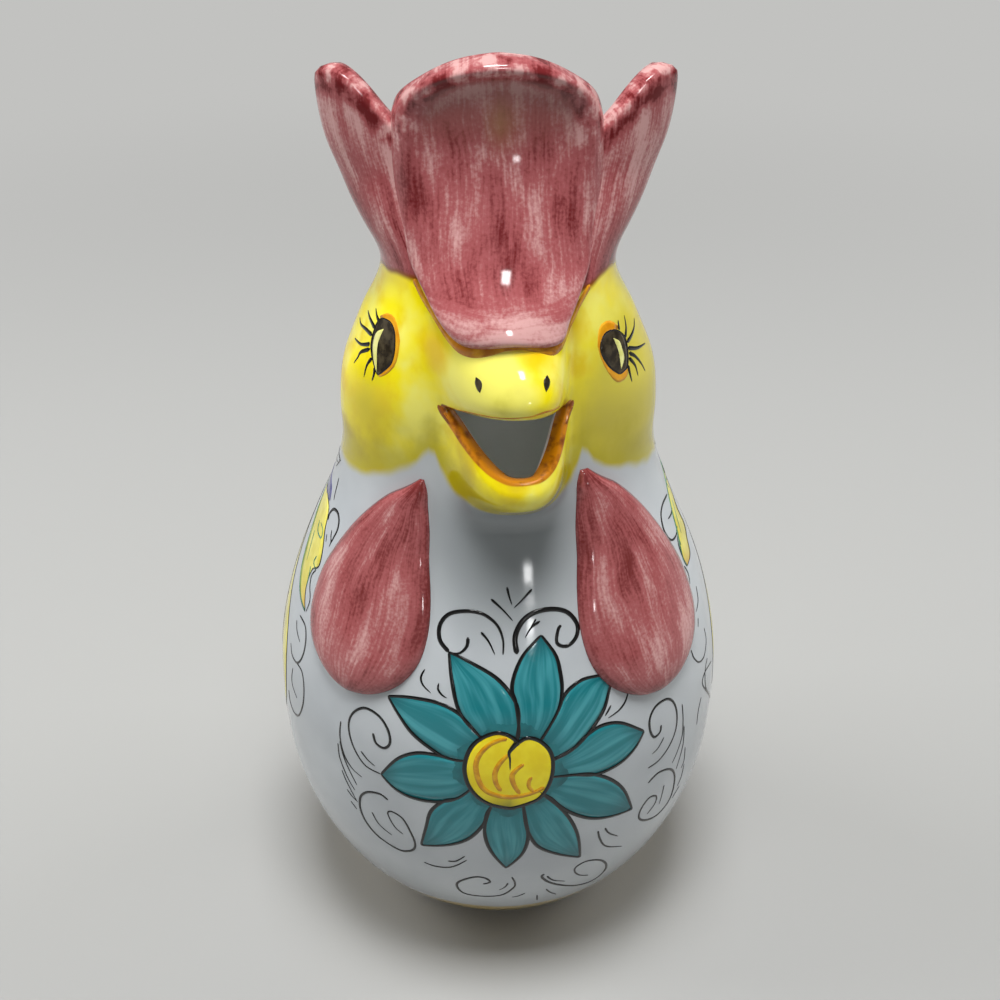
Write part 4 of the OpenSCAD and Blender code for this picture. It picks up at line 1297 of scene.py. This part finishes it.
VIOLET_LEAVES = {
    -1: ([(333, 461), (329, 473), (327, 486), (330, 501)], [(333, 461), (332, 474), (332, 488), (330, 501)]),
    1: ([(662, 447), (662, 455), (664, 463), (667, 472)], [(662, 447), (665, 454), (667, 462), (667, 472)]),
}
LEAF_MARKS = {
    -1: [[(320, 520), (318, 530), (321, 538), (323, 530), (321, 522)], [(311, 566), (309, 576), (306, 588)],
         [(317, 556), (314, 562), (316, 570)], [(315, 530), (311, 545), (307, 560)]],
    1: [[(666, 477), (666, 482), (669, 488)], [(672, 500), (676, 515), (681, 533)], [(676, 530), (681, 545)]],
}
SIDE_CURLS = {
    -1: [
        (0.6, 0.7, 0.3, [(337, 440), (339, 452), (340, 460), (336, 466)]),
        (0.4, 0.5, 0.3, [(336, 448), (335, 455), (338, 462), (341, 460)]),
        (0.5, 0.6, 0.3, [(339, 478), (337, 486), (335, 494), (334, 500)]),
        (0.8, 1.0, 0.5, [(328, 520), (330, 513), (334, 509), (338, 513), (339, 522), (337, 531), (334, 537),
                         (331, 543)]),
        (0.5, 0.6, 0.3, [(332, 530), (331, 536), (331, 542), (329, 547)]),
        (0.4, 0.4, 0.3, [(327, 534), (326, 542)]),
        (0.5, 0.6, 0.4, [(316, 570), (312, 575), (310, 585), (310, 600), (306, 612)]),
        (0.6, 0.8, 0.5, [(300, 615), (305, 625), (306, 638), (304, 652), (300, 661), (296, 662), (292, 654),
                         (291, 643)]),
        (0.5, 0.6, 0.3, [(297, 620), (297, 630), (300, 642)]),
        (0.6, 0.8, 0.5, [(297, 663), (302, 672), (304, 688), (303, 704), (299, 715), (294, 712), (290, 700),
                         (289, 690)]),
        (0.4, 0.5, 0.3, [(293, 668), (292, 682), (297, 698)]),
    ],
    1: [
        (0.4, 0.5, 0.3, [(660, 420), (656, 428), (655, 437), (657, 448), (660, 455)]),
        (0.4, 0.5, 0.3, [(661, 428), (658, 436), (655, 444)]),
        (0.7, 0.9, 0.5, [(667, 494), (663, 503), (661, 514), (663, 527), (667, 536), (672, 540), (676, 535),
                         (677, 526)]),
        (0.5, 0.6, 0.4, [(672, 508), (671, 514), (668, 519)]),
        (0.5, 0.7, 0.4, [(677, 536), (679, 547), (683, 558), (686, 565)]),
        (0.5, 0.6, 0.3, [(684, 566), (688, 573), (690, 584)]),
        (0.5, 0.6, 0.3, [(696, 586), (698, 600), (696, 612)]),
        (0.5, 0.5, 0.3, [(698, 618), (698, 627)]),
        (0.5, 0.6, 0.4, [(691, 650), (694, 658), (699, 662), (704, 656), (706, 640), (704, 628)]),
        (0.5, 0.7, 0.4, [(707, 658), (705, 672), (706, 688), (710, 697), (713, 688), (714, 674), (711, 661)]),
        (0.4, 0.6, 0.3, [(711, 700), (709, 714), (710, 729)]),
    ],
}
# Curls behind the wings, on the neck and under the tail, by angle and height
BACK_CURLS = [
    (0.8, 1.0, 0.5, [(140, 72), (147, 64), (150, 54), (145, 46), (137, 47), (135, 55), (140, 59)]),
    (0.7, 0.9, 0.4, [(96, 46), (106, 40), (114, 33), (112, 25), (104, 25), (101, 31), (106, 34)]),
    (0.5, 0.6, 0.3, [(84, 50), (92, 42), (97, 33)]),
    (0.8, 1.0, 0.5, [(118, 138), (124, 146), (134, 147), (138, 139), (132, 133), (126, 137)]),
    (0.5, 0.6, 0.3, [(112, 142), (117, 150), (126, 155)]),
    (0.7, 0.9, 0.4, [(140, 128), (148, 121), (152, 112), (147, 105), (141, 109)]),
    (0.5, 0.6, 0.3, [(143, 100), (150, 96), (155, 88)]),
    (0.7, 0.8, 0.4, [(150, 33), (158, 25), (168, 20), (172, 26), (166, 31), (161, 28)]),
]
# Root and tip, by angle and height, and half width in degrees of the leaves on the neck
NECK_LEAVES = [((104, 137), (114, 146), 5), ((141, 132), (150, 142), 5)]
# Angle and height of each tail feather's tip from the middle of the back, its half width and its colour
TAIL_FEATHERS = [(0, 24, 7, "teal"), (17, 30, 7, "yellow"), (33, 40, 7.5, "green"), (46, 56, 7, "teal"),
                 (52, 75, 6.5, "yellow")]
tail_root_z = 101
# How far the roots fan out, and how far the feathers bend back, as shares of the angle of their tips
tail_root_spread = 0.12
tail_bend = 0.16
LEAF_WIDTHS = [0.15, 0.7, 1, 0.95, 0.6, 0]
# Share of the way across the wing, and colour, of its long feathers
WING_FEATHERS = [(0.22, "green"), (0.45, "teal"), (0.68, "green")]
wing_feather_share = 0.1

# Pale lemon that pools to ochre, copper green and a greyish violet, thin enough to show their patches.
lemon_wash = fired_wash("lemon_wash", "D3C64A", "E8DF6E", 7, "C9A23A")
leaf_green = fired_wash("copper_green_wash", "3F7A56", "6D9A6C", 5, "2D5C48")
violet_wash = fired_wash("violet_wash", "4C4C74", "6C6C92", 3)
washes = {colour: new_paint() for colour in ("teal", "yellow", "green", "violet")}
drawn = new_paint()
green_drawn = new_paint()


def on_side(side, points):
    """Points of the glaze from angle and height, to the right of the front or, at -1, to the left."""
    return [skin(side * u, z, z > beak_z) * MM for u, z in points]


def between(line_a, line_b, share):
    """Line at a share of the way between two others."""
    return [(mix(a[0], b[0], share), mix(a[1], b[1], share)) for a, b in zip(line_a, line_b)]


def leaf_edges(root, tip, half, bend):
    """Two edges of a leaf from its root to its tip, half as wide as given, bent sideways."""
    last = len(LEAF_WIDTHS) - 1
    edges = [[], []]
    for k, width in enumerate(LEAF_WIDTHS):
        u = mix(root[0], tip[0], k / last) + bend * math.sin(math.pi * k / last)
        z = mix(root[1], tip[1], k / last)
        edges[0].append((u - half * width, z))
        edges[1].append((u + half * width, z))
    return edges


for side in (-1, 1):
    edges = [on_side(side, line) for line in (WING_FRONT, WING_BACK)]
    outlined(washes["yellow"], drawn, edges, 30, 48, 0.05, (0.5, 0.8, 0.5))
    for share, colour in WING_FEATHERS:
        vein = between(WING_FRONT, WING_BACK, share)[1:7]
        wide = between(WING_FRONT, WING_BACK, share + wing_feather_share)[1:7]
        edges = [on_side(side, line) for line in (vein[:5] + wide[5:], vein[:1] + wide[1:])]
        wash(washes[colour], edges, 5, 30, 0.08)
        stroke(drawn, (0.7, 0.6, 0.3), on_side(side, vein), 0.12)
    strokes(drawn, BACK_CURLS, lambda line: on_side(side, line))
    for root, tip, half in NECK_LEAVES:
        edges = [on_side(side, line) for line in leaf_edges(root, tip, half, 0)]
        outlined(washes["green"], drawn, edges, 6, 10, 0.05, (0.5, 0.7, 0.3))
    ragged = [on_skin(edge) for edge in RAGGED_LEAVES[side]]
    wash(washes["yellow"], ragged, 6, 24, 0.06)
    stroke(green_drawn, (0.6, 1.1, 0.9), ragged[0])
    stroke(drawn, (0.4, 0.6, 0.4), ragged[1])
    wash(washes["violet"], [on_skin(edge) for edge in VIOLET_LEAVES[side]], 4, 10, 0.08)
    for pixels in LEAF_MARKS[side]:
        stroke(green_drawn, (0.6, 0.7, 0.3), on_skin(pixels), 0.12)
    strokes(drawn, SIDE_CURLS[side])
    for layer, (around, tip_z, half, colour) in enumerate(TAIL_FEATHERS):
        if around or side > 0:
            root = (180 - tail_root_spread * around, tail_root_z)
            lines = leaf_edges(root, (180 - around, tip_z), half, -tail_bend * around)
            lift = 0.05 + 0.03 * (len(TAIL_FEATHERS) - 1 - layer)
            edges = [on_side(side, line) for line in lines]
            outlined(washes[colour], drawn, edges, 8, 24, lift, (0.6, 0.9, 0.5), lift + 0.04)
            quill = between(lines[0], lines[1], 0.5)[:5]
            stroke(drawn, (0.8, 0.6, 0.3), on_side(side, quill), lift + 0.05)
finish_paint(washes["teal"], "tail_feathers_teal", teal_wash)
finish_paint(washes["yellow"], "wings_and_yellow_feathers", lemon_wash)
finish_paint(washes["green"], "green_feathers", leaf_green)
finish_paint(washes["violet"], "violet_leaves", violet_wash)
finish_paint(green_drawn, "green_outlines", leaf_green)
finish_paint(drawn, "wing_and_tail_outlines", black_line)
